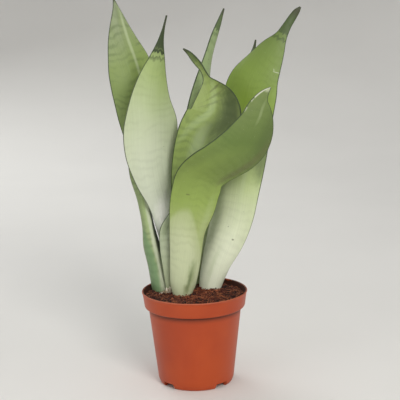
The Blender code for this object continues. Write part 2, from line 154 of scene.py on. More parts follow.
class Graph:
    """A new material's nodes, ending in one Principled shader."""

    def __init__(self, name: str) -> None:
        """Makes the material.

        Args:
            name: The material's name.
        """
        self.material = bpy.data.materials.new(name)
        self.material.use_nodes = True
        self.tree = self.material.node_tree
        self.shader = self.tree.nodes["Principled BSDF"]

    def node(self, kind: str, settings: dict | None = None, inputs: dict | None = None) -> bpy.types.Node:
        """Adds any node.

        Args:
            kind: The node's type.
            settings: Properties to set first; "stops" fills a colour ramp.
            inputs: Values or wires by input name or number.

        Returns:
            The node.
        """
        made = self.tree.nodes.new(kind)
        for key, setting in (settings or {}).items():
            if key == "stops":
                self._fill_ramp(made.color_ramp, setting)
            else:
                setattr(made, key, setting)
        for key, given in (inputs or {}).items():
            self.connect(made.inputs[key], given)
        return made

    def _fill_ramp(self, ramp: bpy.types.ColorRamp, stops: Sequence[tuple[float, Colour]]) -> None:
        """Replaces a ramp's stops by (position, colour) pairs."""
        while len(ramp.elements) < len(stops):
            ramp.elements.new(0.5)
        for element, (position, colour) in zip(ramp.elements, stops):
            element.position = position
            element.color = (*colour, 1.0)

    def connect(self, socket: bpy.types.NodeSocket, given: "Wire | float | Colour") -> None:
        """Links a wire to an input, or sets the input's own value.

        Args:
            socket: The input.
            given: A wire, a number, or a colour or vector as a tuple.
        """
        if isinstance(given, Wire):
            self.tree.links.new(given.socket, socket)
        elif isinstance(given, tuple) and socket.type == "RGBA":
            socket.default_value = (*given, 1.0)
        else:
            socket.default_value = given

    def value(
        self, kind: str, settings: dict | None = None, inputs: dict | None = None, output: int | str = 0
    ) -> Wire:
        """Adds any node and returns one of its outputs as a wire."""
        return Wire(self, self.node(kind, settings, inputs).outputs[output])

    def math(self, operation: str, *terms: "Wire | float") -> Wire:
        """Adds a Math node for the operation on the terms."""
        return self.value("ShaderNodeMath", {"operation": operation}, dict(enumerate(terms)))

    def mix(self, first: "Wire | Colour", second: "Wire | Colour", share: "Wire | float") -> Wire:
        """Blends two colours: first * (1 - share) + second * share.

        Args:
            first: The colour where share is 0.
            second: The colour where share is 1.
            share: The second colour's part.

        Returns:
            The blended colour.
        """
        node = self.node("ShaderNodeMix", {"data_type": "RGBA", "clamp_factor": True})
        self.connect(node.inputs["Factor"], share)
        self.connect(node.inputs[6], first)
        self.connect(node.inputs[7], second)
        return Wire(self, node.outputs[2])

    def shade(self, colour: Wire, amount: "Wire | float") -> Wire:
        """Scales a colour's three channels by one amount."""
        return self.value("ShaderNodeVectorMath", {"operation": "SCALE"}, {0: colour, "Scale": amount})

    def parts(self, attribute: str) -> tuple[Wire, Wire, Wire]:
        """The three parts of a vector attribute of the mesh."""
        source = self.value("ShaderNodeAttribute", {"attribute_name": attribute}, None, "Vector")
        node = self.node("ShaderNodeSeparateXYZ", None, {0: source})
        return Wire(self, node.outputs[0]), Wire(self, node.outputs[1]), Wire(self, node.outputs[2])

    def place(self, x: "Wire | float", y: "Wire | float", z: "Wire | float") -> Wire:
        """Joins three numbers into one vector."""
        return self.value("ShaderNodeCombineXYZ", None, {0: x, 1: y, 2: z})

    def object_place(self) -> Wire:
        """Object coordinates, in metres."""
        return self.value("ShaderNodeTexCoord", None, None, "Object")

    def noise(self, where: Wire, scale: float, detail: float = 2.0, warp: float = 0.0) -> Wire:
        """Smooth noise around 0.5.

        Args:
            where: The coordinates read.
            scale: Waves per unit of them.
            detail: Octaves.
            warp: How far the pattern is pushed about by itself.

        Returns:
            The noise.
        """
        inputs = {"Vector": where, "Scale": scale, "Detail": detail, "Distortion": warp}
        return self.value("ShaderNodeTexNoise", None, inputs)

    def finish(
        self, colour: "Wire | Colour", roughness: "Wire | float", height: Wire | None, depth: float
    ) -> bpy.types.Material:
        """Feeds the shader.

        Args:
            colour: Base colour.
            roughness: Roughness.
            height: Bump height, or None for a smooth surface.
            depth: The bump's distance in metres.

        Returns:
            The finished material.
        """
        self.connect(self.shader.inputs["Base Color"], colour)
        self.connect(self.shader.inputs["Roughness"], roughness)
        if height is not None:
            inputs = {"Height": height, "Distance": depth, "Strength": 1.0}
            self.connect(self.shader.inputs["Normal"], self.value("ShaderNodeBump", None, inputs))
        return self.material


# ---------------------------------------------------------------- finishes


@dataclass(frozen=True)
class Blade:
    """The wires that say where on its leaf a point lies, in millimetres.

    Across and along start at the midrib and the foot.  Margin and tip are the distances to those.
    V is -1 at the left margin and 1 at the right one, and share is the share of the length.
    """

    g: Graph
    seed: float
    across: Wire
    along: Wire
    v: Wire
    margin: Wire
    tip: Wire
    share: Wire

    @classmethod
    def read(cls, g: Graph, seed: float) -> "Blade":
        """Reads the mesh's "blade" and "edge" attributes."""
        return cls(g, seed, *g.parts("blade"), *g.parts("edge"))

    def place(self, wide: float, long: float, shift: float) -> Wire:
        """Pattern coordinates of the leaf: wide and long are units per millimetre."""
        return self.g.place(self.across * wide, self.along * long, self.seed + shift)

    def noise(self, wide: float, long: float, shift: float, detail: float = 2.0, warp: float = 0.0) -> Wire:
        """Smooth noise around 0.5.

        Args:
            wide: Waves per millimetre across.
            long: Waves per millimetre along.
            shift: Tells one of the leaf's noises from another.
            detail: Octaves.
            warp: How far the pattern is pushed about by itself.

        Returns:
            The noise.
        """
        return self.g.noise(self.place(wide, long, shift), 1.0, detail, warp)


@dataclass(frozen=True)
class Mark:
    """An oval patch or a streak of another colour on a blade.

    Across and along place its middle and width and length are half its size, in millimetres.
    Lean turns its length from along the blade towards the right, in degrees.
    """

    across: float
    along: float
    width: float
    length: float
    colour: str
    strength: float = 0.6
    lean: float = 0.0
    soft: float = 0.8
    ragged: float = 0.3

    def cover(self, blade: Blade, wander: Wire) -> Wire:
        """Full inside the oval, none outside; its border is soft and wanders.

        Args:
            blade: The point's place.
            wander: Noise around 0.5.

        Returns:
            The mark's part of the colour.
        """
        cosine, sine = math.cos(math.radians(self.lean)), math.sin(math.radians(self.lean))
        x, y = blade.across - self.across, blade.along - self.along
        u = (x * cosine - y * sine) / self.width
        w = (x * sine + y * cosine) / self.length
        far = blade.g.math("SQRT", u * u + w * w) + (wander - 0.5) * (2.0 * self.ragged)
        return far.step(1.0 + self.soft / 2, 1.0 - self.soft / 2) * self.strength


@dataclass(frozen=True)
class LeafFinish:
    """Waxy green of one leaf, from its pale foot to its dark tip.

    The five colours lie along the leaf.  Bloom is the pale zone low on the blade, partly wax and
    partly painted light where the convex foot faces the light: it ends at bloom_and_light_end, a share of
    the length, and bloom_and_light_arc lowers that end towards the right margin.
    Sides are painted light and shade: tones that shade one half and light the other, which the
    midrib parts.  Dry is how far from the tip the left margin has dried out, in millimetres.
    """

    base: str
    lower: str
    middle: str
    upper: str
    tip: str
    stops: tuple[float, float, float] = (0.3, 0.55, 0.8)
    band: float = 0.16
    lines: float = 0.25
    tip_bands: float = 0.75
    tip_length: float = 22.0
    # Pale foot: partly wax, partly painted light where the convex foot faces the light
    bloom_and_light: float = 0.0
    bloom_and_light_end: float = 0.5
    bloom_and_light_arc: float = 0.0
    dry: float = 0.0
    margin: str = "2B3B1B"
    awl: str = "3A3A26"
    dark: str = "40532B"
    # Colour of the pale foot, partly wax and partly painted light
    wax_and_light: str = "C3CAA6"
    husk: str = "D9DAC6"
    scar: str = "56603C"
    fleck: str = "CDD2B8"
    band_space: float = 9.0
    # Painted light and shade: the tone of the left half and of the right half
    sides: tuple[float, float] = (1.0, 1.0)
    marks: tuple[Mark, ...] = ()
    seed: float = 0.0

    def material(self, name: str) -> bpy.types.Material:
        """Builds the leaf's nodes, from the ground colour up to the dark line of its margins.

        Args:
            name: The material's name.

        Returns:
            The material.
        """
        g = Graph(name)
        blade = Blade.read(g, self.seed)
        bands, lines = self._bands(blade)
        colour = self._ground(blade)
        colour = g.mix(colour, srgb(self.dark), bands * self.band)
        colour = g.mix(colour, srgb(self.dark), lines * self.lines * blade.share.step(0.05, 0.45))
        streak = blade.noise(0.7, 0.010, 3.0, 4.0, 0.8)
        colour = g.shade(colour, 0.92 + streak * 0.16)
        ragged = blade.noise(0.25, 0.12, 31.0, 3.0)
        for mark in self.marks:
            colour = g.mix(colour, srgb(mark.colour), mark.cover(blade, ragged))
        colour = self._add_tip(blade, colour)
        colour = self._add_scars(blade, colour)
        colour = self._add_margins(blade, colour, ragged)
        grain = blade.noise(1.6, 0.35, 0.0)
        height = streak * 0.6 + grain * 0.15 - lines * 0.08
        roughness = 0.42 + 0.14 * grain + 0.08 * bands
        return g.finish(colour, roughness, height, 0.0006)

    def _ground(self, blade: Blade) -> Wire:
        """The five colours along the leaf, with its pale foot of wax and painted light, faint patches and
        the two sides' painted light and shade.
        """
        g = blade.g
        wander = blade.noise(0.03, 0.012, 0.0)
        places = (0.0, *self.stops, 1.0)
        codes = (self.base, self.lower, self.middle, self.upper, self.tip)
        stops = tuple((place, srgb(code)) for place, code in zip(places, codes))
        position = blade.share + (wander - 0.5) * 0.16
        colour = self._add_bloom_and_light(blade, g.value("ShaderNodeValToRGB", {"stops": stops}, {0: position}))
        colour = g.shade(colour, 0.93 + 0.14 * blade.noise(0.06, 0.03, 13.0, 3.0))
        # Painted light and shade: one half shaded, the other lit
        left, right = self.sides
        return g.shade(colour, left + (right - left) * blade.v.step(-0.3, 0.3))

    def _bands(self, blade: Blade) -> tuple[Wire, Wire]:
        """Irregular crosswise bands and thin lines between them.

        The band number is along / band_space pushed about by two noises, a slow one and a
        ragged one.  Soft bands fill one half of each number's fraction, and a line lies at its
        turn.  Both come and go in patches.

        Args:
            blade: The point's place.

        Returns:
            The bands and the lines, 0 to 1.
        """
        slow = blade.noise(0.045, 0.02, 5.0)
        ragged = blade.noise(0.30, 0.10, 6.0, 3.0)
        number = blade.along / self.band_space + slow * 3.2 + ragged * 0.3
        turn = abs(blade.g.math("FRACT", number) - 0.5) * 2.0
        patch = blade.noise(0.035, 0.035, 8.0)
        other = blade.noise(0.05, 0.05, 10.0)
        bands = turn.step(0.35, 0.85) * patch.step(0.38, 0.60)
        lines = turn.step(0.86, 0.98) * other.step(0.42, 0.58)
        return bands, lines

    def _add_bloom_and_light(self, blade: Blade, colour: Wire) -> Wire:
        """Pale wax and painted light below a curve that falls towards the right margin."""
        if self.bloom_and_light <= 0.0:
            return colour
        cloud = blade.noise(0.05, 0.03, 7.0, 3.0)
        aside = blade.across / 20.0 + 0.4
        limit = self.bloom_and_light_end - self.bloom_and_light_arc * aside * aside
        soft = (limit - blade.share + (cloud - 0.5) * 0.03).step(-0.02, 0.02)
        depth = (limit - blade.share).step(0.0, 0.14) * 0.5 + 0.5
        return blade.g.mix(colour, srgb(self.wax_and_light), soft * depth * self.bloom_and_light)

    def _add_tip(self, blade: Blade, colour: Wire) -> Wire:
        """Dark wavy bands below the tip and a dark, dry point."""
        g, tip, reach = blade.g, blade.tip, self.tip_length
        ripple = blade.noise(0.35, 0.06, 11.0, 3.0)
        wave = g.math("SINE", (tip + ripple * 14.0) * 0.75 + self.seed)
        near = tip + ripple * 16.0 - 8.0
        zone = near.step(reach * 2.7, reach * 2.1)
        core = near.step(reach * 2.1, reach * 1.7)
        bands = g.math("MAXIMUM", wave.step(-0.5, 0.4) * zone, core)
        colour = g.mix(colour, srgb(self.dark), bands * self.tip_bands)
        cap = (tip + ripple * 8.0).step(reach * 1.25, reach * 0.55)
        return g.mix(colour, srgb(self.awl), cap * 0.85)

    def _add_scars(self, blade: Blade, colour: Wire) -> Wire:
        """A few tiny dark scars and pale flecks from handling."""
        g = blade.g
        inputs = {"Vector": blade.place(0.06, 0.04, 17.0), "Scale": 1.0}
        cells = g.value("ShaderNodeTexVoronoi", {"feature": "F1"}, inputs)
        colour = g.mix(colour, srgb(self.scar), cells.step(0.045, 0.02) * 0.6)
        dust = blade.noise(0.8, 0.8, 21.0)
        return g.mix(colour, srgb(self.fleck), dust.step(0.70, 0.78) * 0.22)

    def _add_margins(self, blade: Blade, colour: Wire, ragged: Wire) -> Wire:
        """The dried-out left margin near the tip, and the dark line along both margins."""
        g = blade.g
        if self.dry > 0.0:
            near = blade.margin.step(2.6, 0.8) * blade.tip.step(self.dry, self.dry * 0.6)
            worn = near * blade.v.step(0.3, -0.1) * ragged.step(0.42, 0.52)
            colour = g.mix(colour, srgb(self.husk), worn * 0.8)
        line = blade.margin.step(0.85, 0.25) * (0.25 + 0.75 * blade.share.step(0.15, 0.45))
        return g.mix(colour, srgb(self.margin), line * 0.9)


@dataclass(frozen=True)
class PotFinish:
    """Brick-coloured moulded plastic, a little scuffed at its foot, its lip lighter with wear and a painted
    highlight.

    Heights and radii are in metres.  The inner wall, darkened by soil dirt and painted shade, has
    wall_radius at wall_height and widens upwards by wall_slope.
    """

    body: str = "AF461A"
    # Colour of scuffs, and of the lip's wear and painted highlight
    worn: str = "A8654A"
    deep: str = "A33D17"
    # Soil dirt, also used for painted shade on the inner wall
    soil: str = "2E150D"
    lip_height: tuple[float, float] = (0.1050, 0.1064)
    lip_radius: tuple[float, float] = (0.0572, 0.0584)
    foot_height: tuple[float, float] = (0.014, 0.002)
    wall_radius: float = 0.0564
    wall_height: float = 0.0906
    wall_slope: float = 0.1871
    dirt_and_shade_height: tuple[float, float] = (0.080, 0.090)
    crust_and_shade_height: tuple[float, float] = (0.1066, 0.1035)

    def material(self, name: str) -> bpy.types.Material:
        """Builds the pot's nodes.

        Args:
            name: The material's name.

        Returns:
            The material.
        """
        g = Graph(name)
        g.shader.inputs["Specular IOR Level"].default_value = 0.4
        where = g.object_place()
        node = g.node("ShaderNodeSeparateXYZ", None, {0: where})
        x, y, height = (Wire(g, node.outputs[i]) for i in range(3))
        radius = g.math("SQRT", x * x + y * y)
        cloud = g.noise(where, 16.0, 3.0)
        fine = g.noise(where, 1100.0, 2.0)
        colour = g.mix(srgb(self.deep), srgb(self.body), cloud.step(0.30, 0.62))
        # Lighter lip: wear and a painted highlight along the rounded rim top
        lip = height.step(*self.lip_height) * radius.step(*self.lip_radius)
        colour = g.mix(colour, srgb(self.worn), lip * (0.35 + 0.4 * cloud))
        stretched = g.value("ShaderNodeMapping", None, {0: where, "Scale": (70.0, 70.0, 900.0)})
        scuffs = g.noise(stretched, 1.0, 3.0)
        low = height.step(*self.foot_height)
        colour = g.mix(colour, srgb(self.worn), scuffs.step(0.60, 0.74) * (0.06 + 0.4 * low))
        # The inner wall darkens with soil dirt and painted shade below the rim
        wall = self.wall_radius + (height - self.wall_height) * self.wall_slope
        inside = (wall - radius).step(-0.0002, 0.0002) * height.step(*self.dirt_and_shade_height)
        dirt_and_shade = g.noise(where, 300.0, 4.0)
        crust_and_shade = height.step(*self.crust_and_shade_height) * 0.35
        colour = g.mix(colour, srgb(self.soil), inside * (dirt_and_shade + crust_and_shade).step(0.36, 0.58) * 0.95)
        specks = g.noise(where, 500.0, 2.0)
        colour = g.mix(colour, srgb(self.soil), specks.step(0.74, 0.80) * (0.05 + 0.35 * low))
        roughness = 0.36 + 0.12 * cloud + 0.12 * lip + 0.2 * inside
        bump = fine * 0.3 + cloud * 0.4 + scuffs * 0.12
        return g.finish(colour, roughness, bump, 0.00012)


@dataclass(frozen=True)
class SoilFinish:
    """Damp peat and bark; each grain's tone comes from the mesh where it has one.

    Painted shade darkens it towards the left and right, between the two distances of side_shade_from, in
    metres.
    """

    dark: str = "1C0B07"
    middle: str = "501B0B"
    light: str = "7A3A20"
    straw: str = "A96642"
    grain_scale: float = 900.0
    side_shade_from: tuple[float, float] = (0.016, 0.042)

    def material(self, name: str, by_grain: bool) -> bpy.types.Material:
        """Builds the potting mix's nodes.

        Args:
            name: The material's name.
            by_grain: Whether the colour follows the mesh's "tone" attribute.

        Returns:
            The material.
        """
        g = Graph(name)
        where = g.object_place()
        fine = g.noise(where, self.grain_scale, 4.0)
        if by_grain:
            tone, _, _ = g.parts("tone")
            tone = tone + (fine - 0.5) * 0.35
        else:
            tone = fine * 0.7 + g.noise(where, 170.0, 3.0) * 0.3 - 0.06
        stops = (
            (0.18, srgb(self.dark)),
            (0.48, srgb(self.middle)),
            (0.80, srgb(self.light)),
            (1.0, srgb(self.straw)),
        )
        colour = g.value("ShaderNodeValToRGB", {"stops": stops}, {0: tone})
        sideways = g.value("ShaderNodeSeparateXYZ", None, {0: where})
        # Painted shade: the mix darkens towards the left and right
        side_shade = abs(sideways + (g.noise(where, 60.0) - 0.5) * 0.02).step(*self.side_shade_from)
        colour = g.shade(colour, 1.12 - 0.62 * side_shade)
        return g.finish(colour, 0.82 + 0.15 * fine, fine, 0.0006)


@dataclass(frozen=True)
class FibreFinish:
    """Dry plant fibre or papery leaf sheath, in patches from light to dark."""

    light: str = "B26A44"
    dark: str = "5E2614"
    scale: float = 500.0

    def material(self, name: str) -> bpy.types.Material:
        """Builds the nodes.

        Args:
            name: The material's name.

        Returns:
            The material.
        """
        g = Graph(name)
        where = g.object_place()
        patch = g.noise(where, self.scale * 0.3, 3.0)
        grain = g.noise(where, self.scale * 3.0, 2.0)
        colour = g.mix(srgb(self.dark), srgb(self.light), patch.step(0.35, 0.65))
        colour = g.shade(colour, 0.85 + 0.3 * grain)
        return g.finish(colour, 0.65 + 0.2 * grain, grain, 0.0002)


@dataclass(frozen=True)
class StudioFinish:
    """Matt pale paper for the floor."""

    paper: str = "E4E2DE"
    shaded: str = "DCDAD6"

    def material(self, name: str) -> bpy.types.Material:
        """Builds the nodes.

        Args:
            name: The material's name.

        Returns:
            The material.
        """
        g = Graph(name)
        cloud = g.noise(g.object_place(), 3.0, 2.0)
        paper = g.mix(srgb(self.paper), srgb(self.shaded), cloud)
        return g.finish(paper, 0.9, None, 0.0)


# ---------------------------------------------------------------- meshes


def new_piece(
    name: str,
    points: Array,
    faces: Array,
    material: bpy.types.Material,
    attributes: dict[str, Array] | None = None,
    uv: Array | None = None,
    smooth: bool = True,
) -> bpy.types.Object:
    """Puts arrays into a mesh object at the origin.

    Args:
        name: The piece's name.
        points: Vertices in millimetres, one row each.
        faces: Corner indices, four in a row; a row that ends in -1 is a triangle.
        material: Its material.
        attributes: Vectors or numbers for each vertex, by name.
        uv: One (u, v) row for each vertex.
        smooth: Whether it is shaded smooth.

    Returns:
        The object.
    """
    mesh = bpy.data.meshes.new(name)
    faces = np.asarray(faces, dtype=np.int64)
    sizes = np.where(faces[:, 3] < 0, 3, 4)
    loops = faces.ravel()
    loops = loops[loops >= 0]
    mesh.vertices.add(len(points))
    mesh.vertices.foreach_set("co", (np.asarray(points) * MM).astype(np.float32).ravel())
    mesh.loops.add(len(loops))
    mesh.loops.foreach_set("vertex_index", loops.astype(np.int32))
    mesh.polygons.add(len(faces))
    starts = np.concatenate([[0], np.cumsum(sizes)[:-1]])
    mesh.polygons.foreach_set("loop_start", starts.astype(np.int32))
    mesh.update(calc_edges=True)
    mesh.polygons.foreach_set("use_smooth", np.full(len(faces), smooth))
    for key, data in (attributes or {}).items():
        vector = np.zeros((len(points), 3), np.float32)
        data = np.asarray(data, np.float32)
        vector[:, : 1 if data.ndim == 1 else data.shape[1]] = data.reshape(len(points), -1)
        layer = mesh.attributes.new(key, "FLOAT_VECTOR", "POINT")
        layer.data.foreach_set("vector", vector.ravel())
    if uv is not None:
        layer = mesh.uv_layers.new(name="UVMap")
        layer.data.foreach_set("uv", np.asarray(uv, np.float32)[loops].ravel())
    mesh.validate()
    mesh.materials.append(material)
    piece = bpy.data.objects.new(name, mesh)
    bpy.context.scene.collection.objects.link(piece)
    return piece


def tube_faces(rings: int, around: int) -> Array:
    """Quads of a closed tube of rings, each ring joined to the next.

    Args:
        rings: Number of rings.
        around: Points in each ring.

    Returns:
        One row of four indices for each quad.
    """
    ring = np.arange(rings - 1)[:, None] * around
    step = np.arange(around)[None, :]
    after = (step + 1) % around
    quads = np.stack([ring + step, ring + after, ring + around + after, ring + around + step], axis=-1)
    return quads.reshape(-1, 4)


def fan_faces(centre: int, ring_start: int, around: int, outward: bool) -> Array:
    """Triangles from a centre point to a ring, as rows that end in -1.

    Args:
        centre: Index of the centre.
        ring_start: Index of the ring's first point.
        around: Points in the ring.
        outward: Whether the ring runs the same way as the tube that it closes.

    Returns:
        The rows.
    """
    step = np.arange(around)
    after = (step + 1) % around
    pair = (step, after) if outward else (after, step)
    filler = np.full(around, -1)
    middle = np.full(around, centre)
    return np.stack([middle, ring_start + pair[0], ring_start + pair[1], filler], axis=-1)


def closed_tube(rings: int, around: int, turned: bool = False) -> Array:
    """A tube with a fan at each end, whose centres come after the rings' points, first one first.

    Args:
        rings: Number of rings.
        around: Points in each ring.
        turned: Whether the rings run the other way round, so that every face turns over.

    Returns:
        Rows of corner indices.
    """
    count = rings * around
    tube = tube_faces(rings, around)
    fans = (fan_faces(count, 0, around, turned), fan_faces(count + 1, count - around, around, not turned))
    return np.concatenate([tube[:, ::-1] if turned else tube, *fans])


def copied_faces(one: Array, copies: int, size: int) -> Array:
    """The faces of many equal bodies, each of size points, from those of one."""
    shift = (np.arange(copies) * size)[:, None, None]
    return np.where(one[None] < 0, -1, one[None] + shift).reshape(-1, 4)


def strands(path: Array, side: Array, lift: Array, wide: Array, thick: Array) -> tuple[Array, Array]:
    """Closed strands of diamond section: each ring is the path plus wide * side, thick * lift,
    minus wide * side and minus thick * lift.

    Args:
        path: Middle of each ring, shaped (strands, rings, 3).
        side: Unit vectors across the strand, one for each ring.
        lift: Unit vectors square to side and to the path.
        wide: Half width at each ring, mm.
        thick: Half thickness at each ring, mm.

    Returns:
        Points and faces of all the strands.
    """
    count, rings, _ = path.shape
    across, through = side * wide[..., None], lift * thick[..., None]
    ring = np.stack([path + across, path + through, path - across, path - through], axis=2)
    points = np.concatenate([ring.reshape(count, -1, 3), path[:, [0, -1]]], axis=1)
    faces = copied_faces(closed_tube(rings, 4), count, points.shape[1])
    return points.reshape(-1, 3), faces


def smooth_curve(knots: Array, values: Array, at: Array) -> Array:
    """Cubic curve through knots; each tangent is the mean of its two slopes, weighted by gaps.

    Between knots a and b with gap h and t from 0 to 1 it is
    (1 + 2t)(1 - t)^2 a + t(1 - t)^2 h a' + t^2 (3 - 2t) b + t^2 (t - 1) h b'.

    Args:
        knots: Increasing positions.
        values: One row for each knot.
        at: Positions to read.

    Returns:
        One row for each position.
    """
    gaps = np.diff(knots)
    slopes = np.diff(values, axis=0) / gaps[:, None]
    tangents = np.empty_like(values)
    tangents[0] = slopes[0]
    tangents[-1] = slopes[-1]
    before = gaps[:-1, None]
    beyond = gaps[1:, None]
    tangents[1:-1] = (slopes[:-1] * beyond + slopes[1:] * before) / (before + beyond)
    cell = np.clip(np.searchsorted(knots, at, side="right") - 1, 0, len(knots) - 2)
    gap = gaps[cell][:, None]
    t = ((at - knots[cell]) / gaps[cell])[:, None]
    start = (1 + 2 * t) * (1 - t) ** 2 * values[cell] + t * (1 - t) ** 2 * gap * tangents[cell]
    end = t * t * (3 - 2 * t) * values[cell + 1] + t * t * (t - 1) * gap * tangents[cell + 1]
    return start + end


def unit(vectors: Array) -> Array:
    """Each row divided by its length."""
    return vectors / np.linalg.norm(vectors, axis=-1, keepdims=True)


def soil_height(x: Array, y: Array) -> Array:
    """Height of the potting mix at (x, y), mm: a low crown with a slow ripple.

    The crown follows SOIL_HEIGHTS over the radius; the ripple is
    SOIL_RIPPLE sin(RIPPLE_X x + 0.6) sin(RIPPLE_Y y + 1.1).
    """
    crown = np.interp(np.hypot(x, y), SOIL_RADII, SOIL_HEIGHTS)
    return crown + SOIL_RIPPLE * np.sin(RIPPLE_X * x + 0.6) * np.sin(RIPPLE_Y * y + 1.1)


# ---------------------------------------------------------------- leaves


@dataclass
class Leaf:
    """One sword-shaped leaf, lofted through cross-sections.

    Each section is height, x, y of the midrib, width, turn and cup.  Turn is the azimuth of the
    width: 0 faces the front.  Cup is the blade's slope at its margins: positive curls forwards.
    Crease is 1 for an even curve and small for a fold along the midrib.  The thick base fades
    away over base_reach and the midrib thins from tip_start on, both shares of the length.
    """

    node: str
    finish: LeafFinish
    sections: tuple[Section, ...]
    crease: float = 1.0
    base_thickness: float = 6.5
    wave: float = 0.7
    waves: float = 3.0
    phase: float = 0.0
    rings: int = 240
    across: int = 37
    edge_points: int = 4
    blade_thickness: float = 2.6
    edge_thickness: float = 1.3
    tangent_reach: float = 12.0
    smallest_half: float = 0.3
    base_reach: float = 0.16
    tip_start: float = 0.85
    tip_thinning: float = 0.5
    edge_share: float = 0.6
    edge_power: float = 2.2
    tip_crowding: float = 1.2
    slope_steps: int = 240
    middle: Array = field(init=False, repr=False)
    normals: Array = field(init=False, repr=False)
    thickness: Array = field(init=False, repr=False)
    v: Array = field(init=False, repr=False)
    length_at: Array = field(init=False, repr=False)
    half_width: Array = field(init=False, repr=False)

    def __post_init__(self) -> None:
        """Works out the middle surface, its normals and its thickness.

        Across the width the slope is cup tanh(v / crease) / tanh(1 / crease), and the section
        is the running sum of the slope's cosine sideways and sine forwards.
        """
        table = np.array(self.sections, float)
        spine = table[:, [1, 2, 0]]
        knots = np.concatenate([[0.0], np.cumsum(np.linalg.norm(np.diff(spine, axis=0), axis=1))])
        share = 1.0 - (1.0 - np.linspace(0.0, 1.0, self.rings)) ** self.tip_crowding
        at = knots[-1] * share
        mid = smooth_curve(knots, spine, at)
        shape = smooth_curve(knots, table[:, 3:], at)
        half = np.maximum(shape[:, 0] / 2, self.smallest_half)
        turn = np.radians(shape[:, 1])
        cup = np.radians(shape[:, 2])
        ahead = smooth_curve(knots, spine, np.minimum(at + self.tangent_reach, knots[-1]))
        behind = smooth_curve(knots, spine, np.maximum(at - self.tangent_reach, 0.0))
        tangent = unit(ahead - behind)
        wide = np.stack([np.cos(turn), np.sin(turn), np.zeros(self.rings)], axis=-1)
        wide = unit(wide - np.sum(wide * tangent, axis=1, keepdims=True) * tangent)
        front = np.cross(wide, tangent)
        v = np.sin(np.linspace(-math.pi / 2, math.pi / 2, self.across))
        steps = self.slope_steps
        fine = np.linspace(0.0, 1.0, steps + 1)
        slope = cup[:, None] * (np.tanh(fine / self.crease) / math.tanh(1 / self.crease))[None]
        between = (slope[:, 1:] + slope[:, :-1]) / 2
        zero = np.zeros((self.rings, 1))
        reach = np.concatenate([zero, np.cumsum(np.cos(between), axis=1)], axis=1) / steps
        rise = np.concatenate([zero, np.cumsum(np.sin(between), axis=1)], axis=1) / steps
        pick = np.rint(np.abs(v) * steps).astype(int)
        side = np.sign(v)
        x = reach[:, pick] * side * half[:, None]
        y = rise[:, pick] * half[:, None] + self._flutter(share, v)
        tilt = slope[:, pick] * side
        self.middle = mid[:, None] + x[..., None] * wide[:, None] + y[..., None] * front[:, None]
        self.normals = (
            np.cos(tilt)[..., None] * front[:, None] - np.sin(tilt)[..., None] * wide[:, None]
        )
        thick = self.blade_thickness
        centre = thick + (self.base_thickness - thick) * np.exp(-((share / self.base_reach) ** 2))
        ending = np.clip((share - self.tip_start) / (1 - self.tip_start), 0, 1)
        centre = centre * (1 - self.tip_thinning * ending)
        edge = np.minimum(self.edge_thickness, centre * self.edge_share)
        fall = 1 - np.abs(v) ** self.edge_power
        self.thickness = edge[:, None] + (centre - edge)[:, None] * fall[None]
        self.v = v
        self.length_at = at
        self.half_width = half

    def _flutter(self, share: Array, v: Array) -> Array:
        """Margins that wave: |v|^3 sin(2 pi waves s), fading out at the foot and the tip.

        Args:
            share: Share of the length at each ring.
            v: Position across, -1 to 1.

        Returns:
            How far the blade moves forwards, mm.
        """
        fade = np.clip(np.sin(math.pi * share) * 1.4, 0, 1) * (share > 0.12)
        left = np.sin(2 * math.pi * self.waves * share + self.phase)
        right = np.sin(2 * math.pi * (self.waves + 0.7) * share + 2.0 * self.phase + 1.0)
        swing = np.where(v < 0, left[:, None], right[:, None])
        return self.wave * fade[:, None] * swing * (np.abs(v) ** 3)[None]

    def build(self) -> bpy.types.Object:
        """Makes the leaf's closed skin, with its place on the blade stored for the finish.

        Returns:
            The leaf.
        """
        half = self.thickness[..., None] / 2
        front = self.middle + self.normals * half
        back = self.middle - self.normals * half
        turns = np.linspace(math.pi / 2, -math.pi / 2, self.edge_points + 2)[1:-1]
        right = self._rim(-1, -2, turns)
        left = self._rim(0, 1, -turns)
        rings = np.concatenate([front, right, back[:, ::-1], left], axis=1)
        around = rings.shape[1]
        v = np.concatenate([self.v, np.ones(len(turns)), self.v[::-1], -np.ones(len(turns))])
        across = v[None] * self.half_width[:, None]
        along = np.repeat(self.length_at[:, None], around, axis=1)
        margin = (1 - np.abs(v))[None] * self.half_width[:, None]
        tip = self.length_at[-1] - along
        share = along / self.length_at[-1]
        blade = np.stack([across, along, np.broadcast_to(v, along.shape)], axis=-1).reshape(-1, 3)
        edge = np.stack([margin, tip, share], axis=-1).reshape(-1, 3)
        ends = np.array([rings[0].mean(axis=0), rings[-1].mean(axis=0)])
        points = np.concatenate([rings.reshape(-1, 3), ends])
        blade = np.concatenate([blade, blade[[0]], blade[[-1]]])
        edge = np.concatenate([edge, edge[[0]], edge[[-1]]])
        faces = closed_tube(self.rings, around)
        uv = np.stack([(blade[:, 0] + 40) / 80, blade[:, 1] / 400], axis=-1)
        material = self.finish.material(self.node)
        piece = new_piece(self.node + "_blade", points, faces, material, {"blade": blade, "edge": edge}, uv)
        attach(piece, BODY)
        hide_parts(self.node)
        return piece

    def _rim(self, margin: int, inner: int, turns: Array) -> Array:
        """A half-round margin: outward 0.3 t cos a plus along the normal 0.5 t sin a.

        Args:
            margin: Column of the margin.
            inner: Column next to it.
            turns: The angles a, from the front face to the back one.

        Returns:
            Points for each ring and angle.
        """
        out = unit(self.middle[:, margin] - self.middle[:, inner])[:, None]
        normal = self.normals[:, margin][:, None]
        thick = self.thickness[:, margin][:, None, None]
        cosine = np.cos(turns)[None, :, None]
        sine = np.sin(turns)[None, :, None]
        return self.middle[:, margin][:, None] + thick * (0.3 * cosine * out + 0.5 * sine * normal)

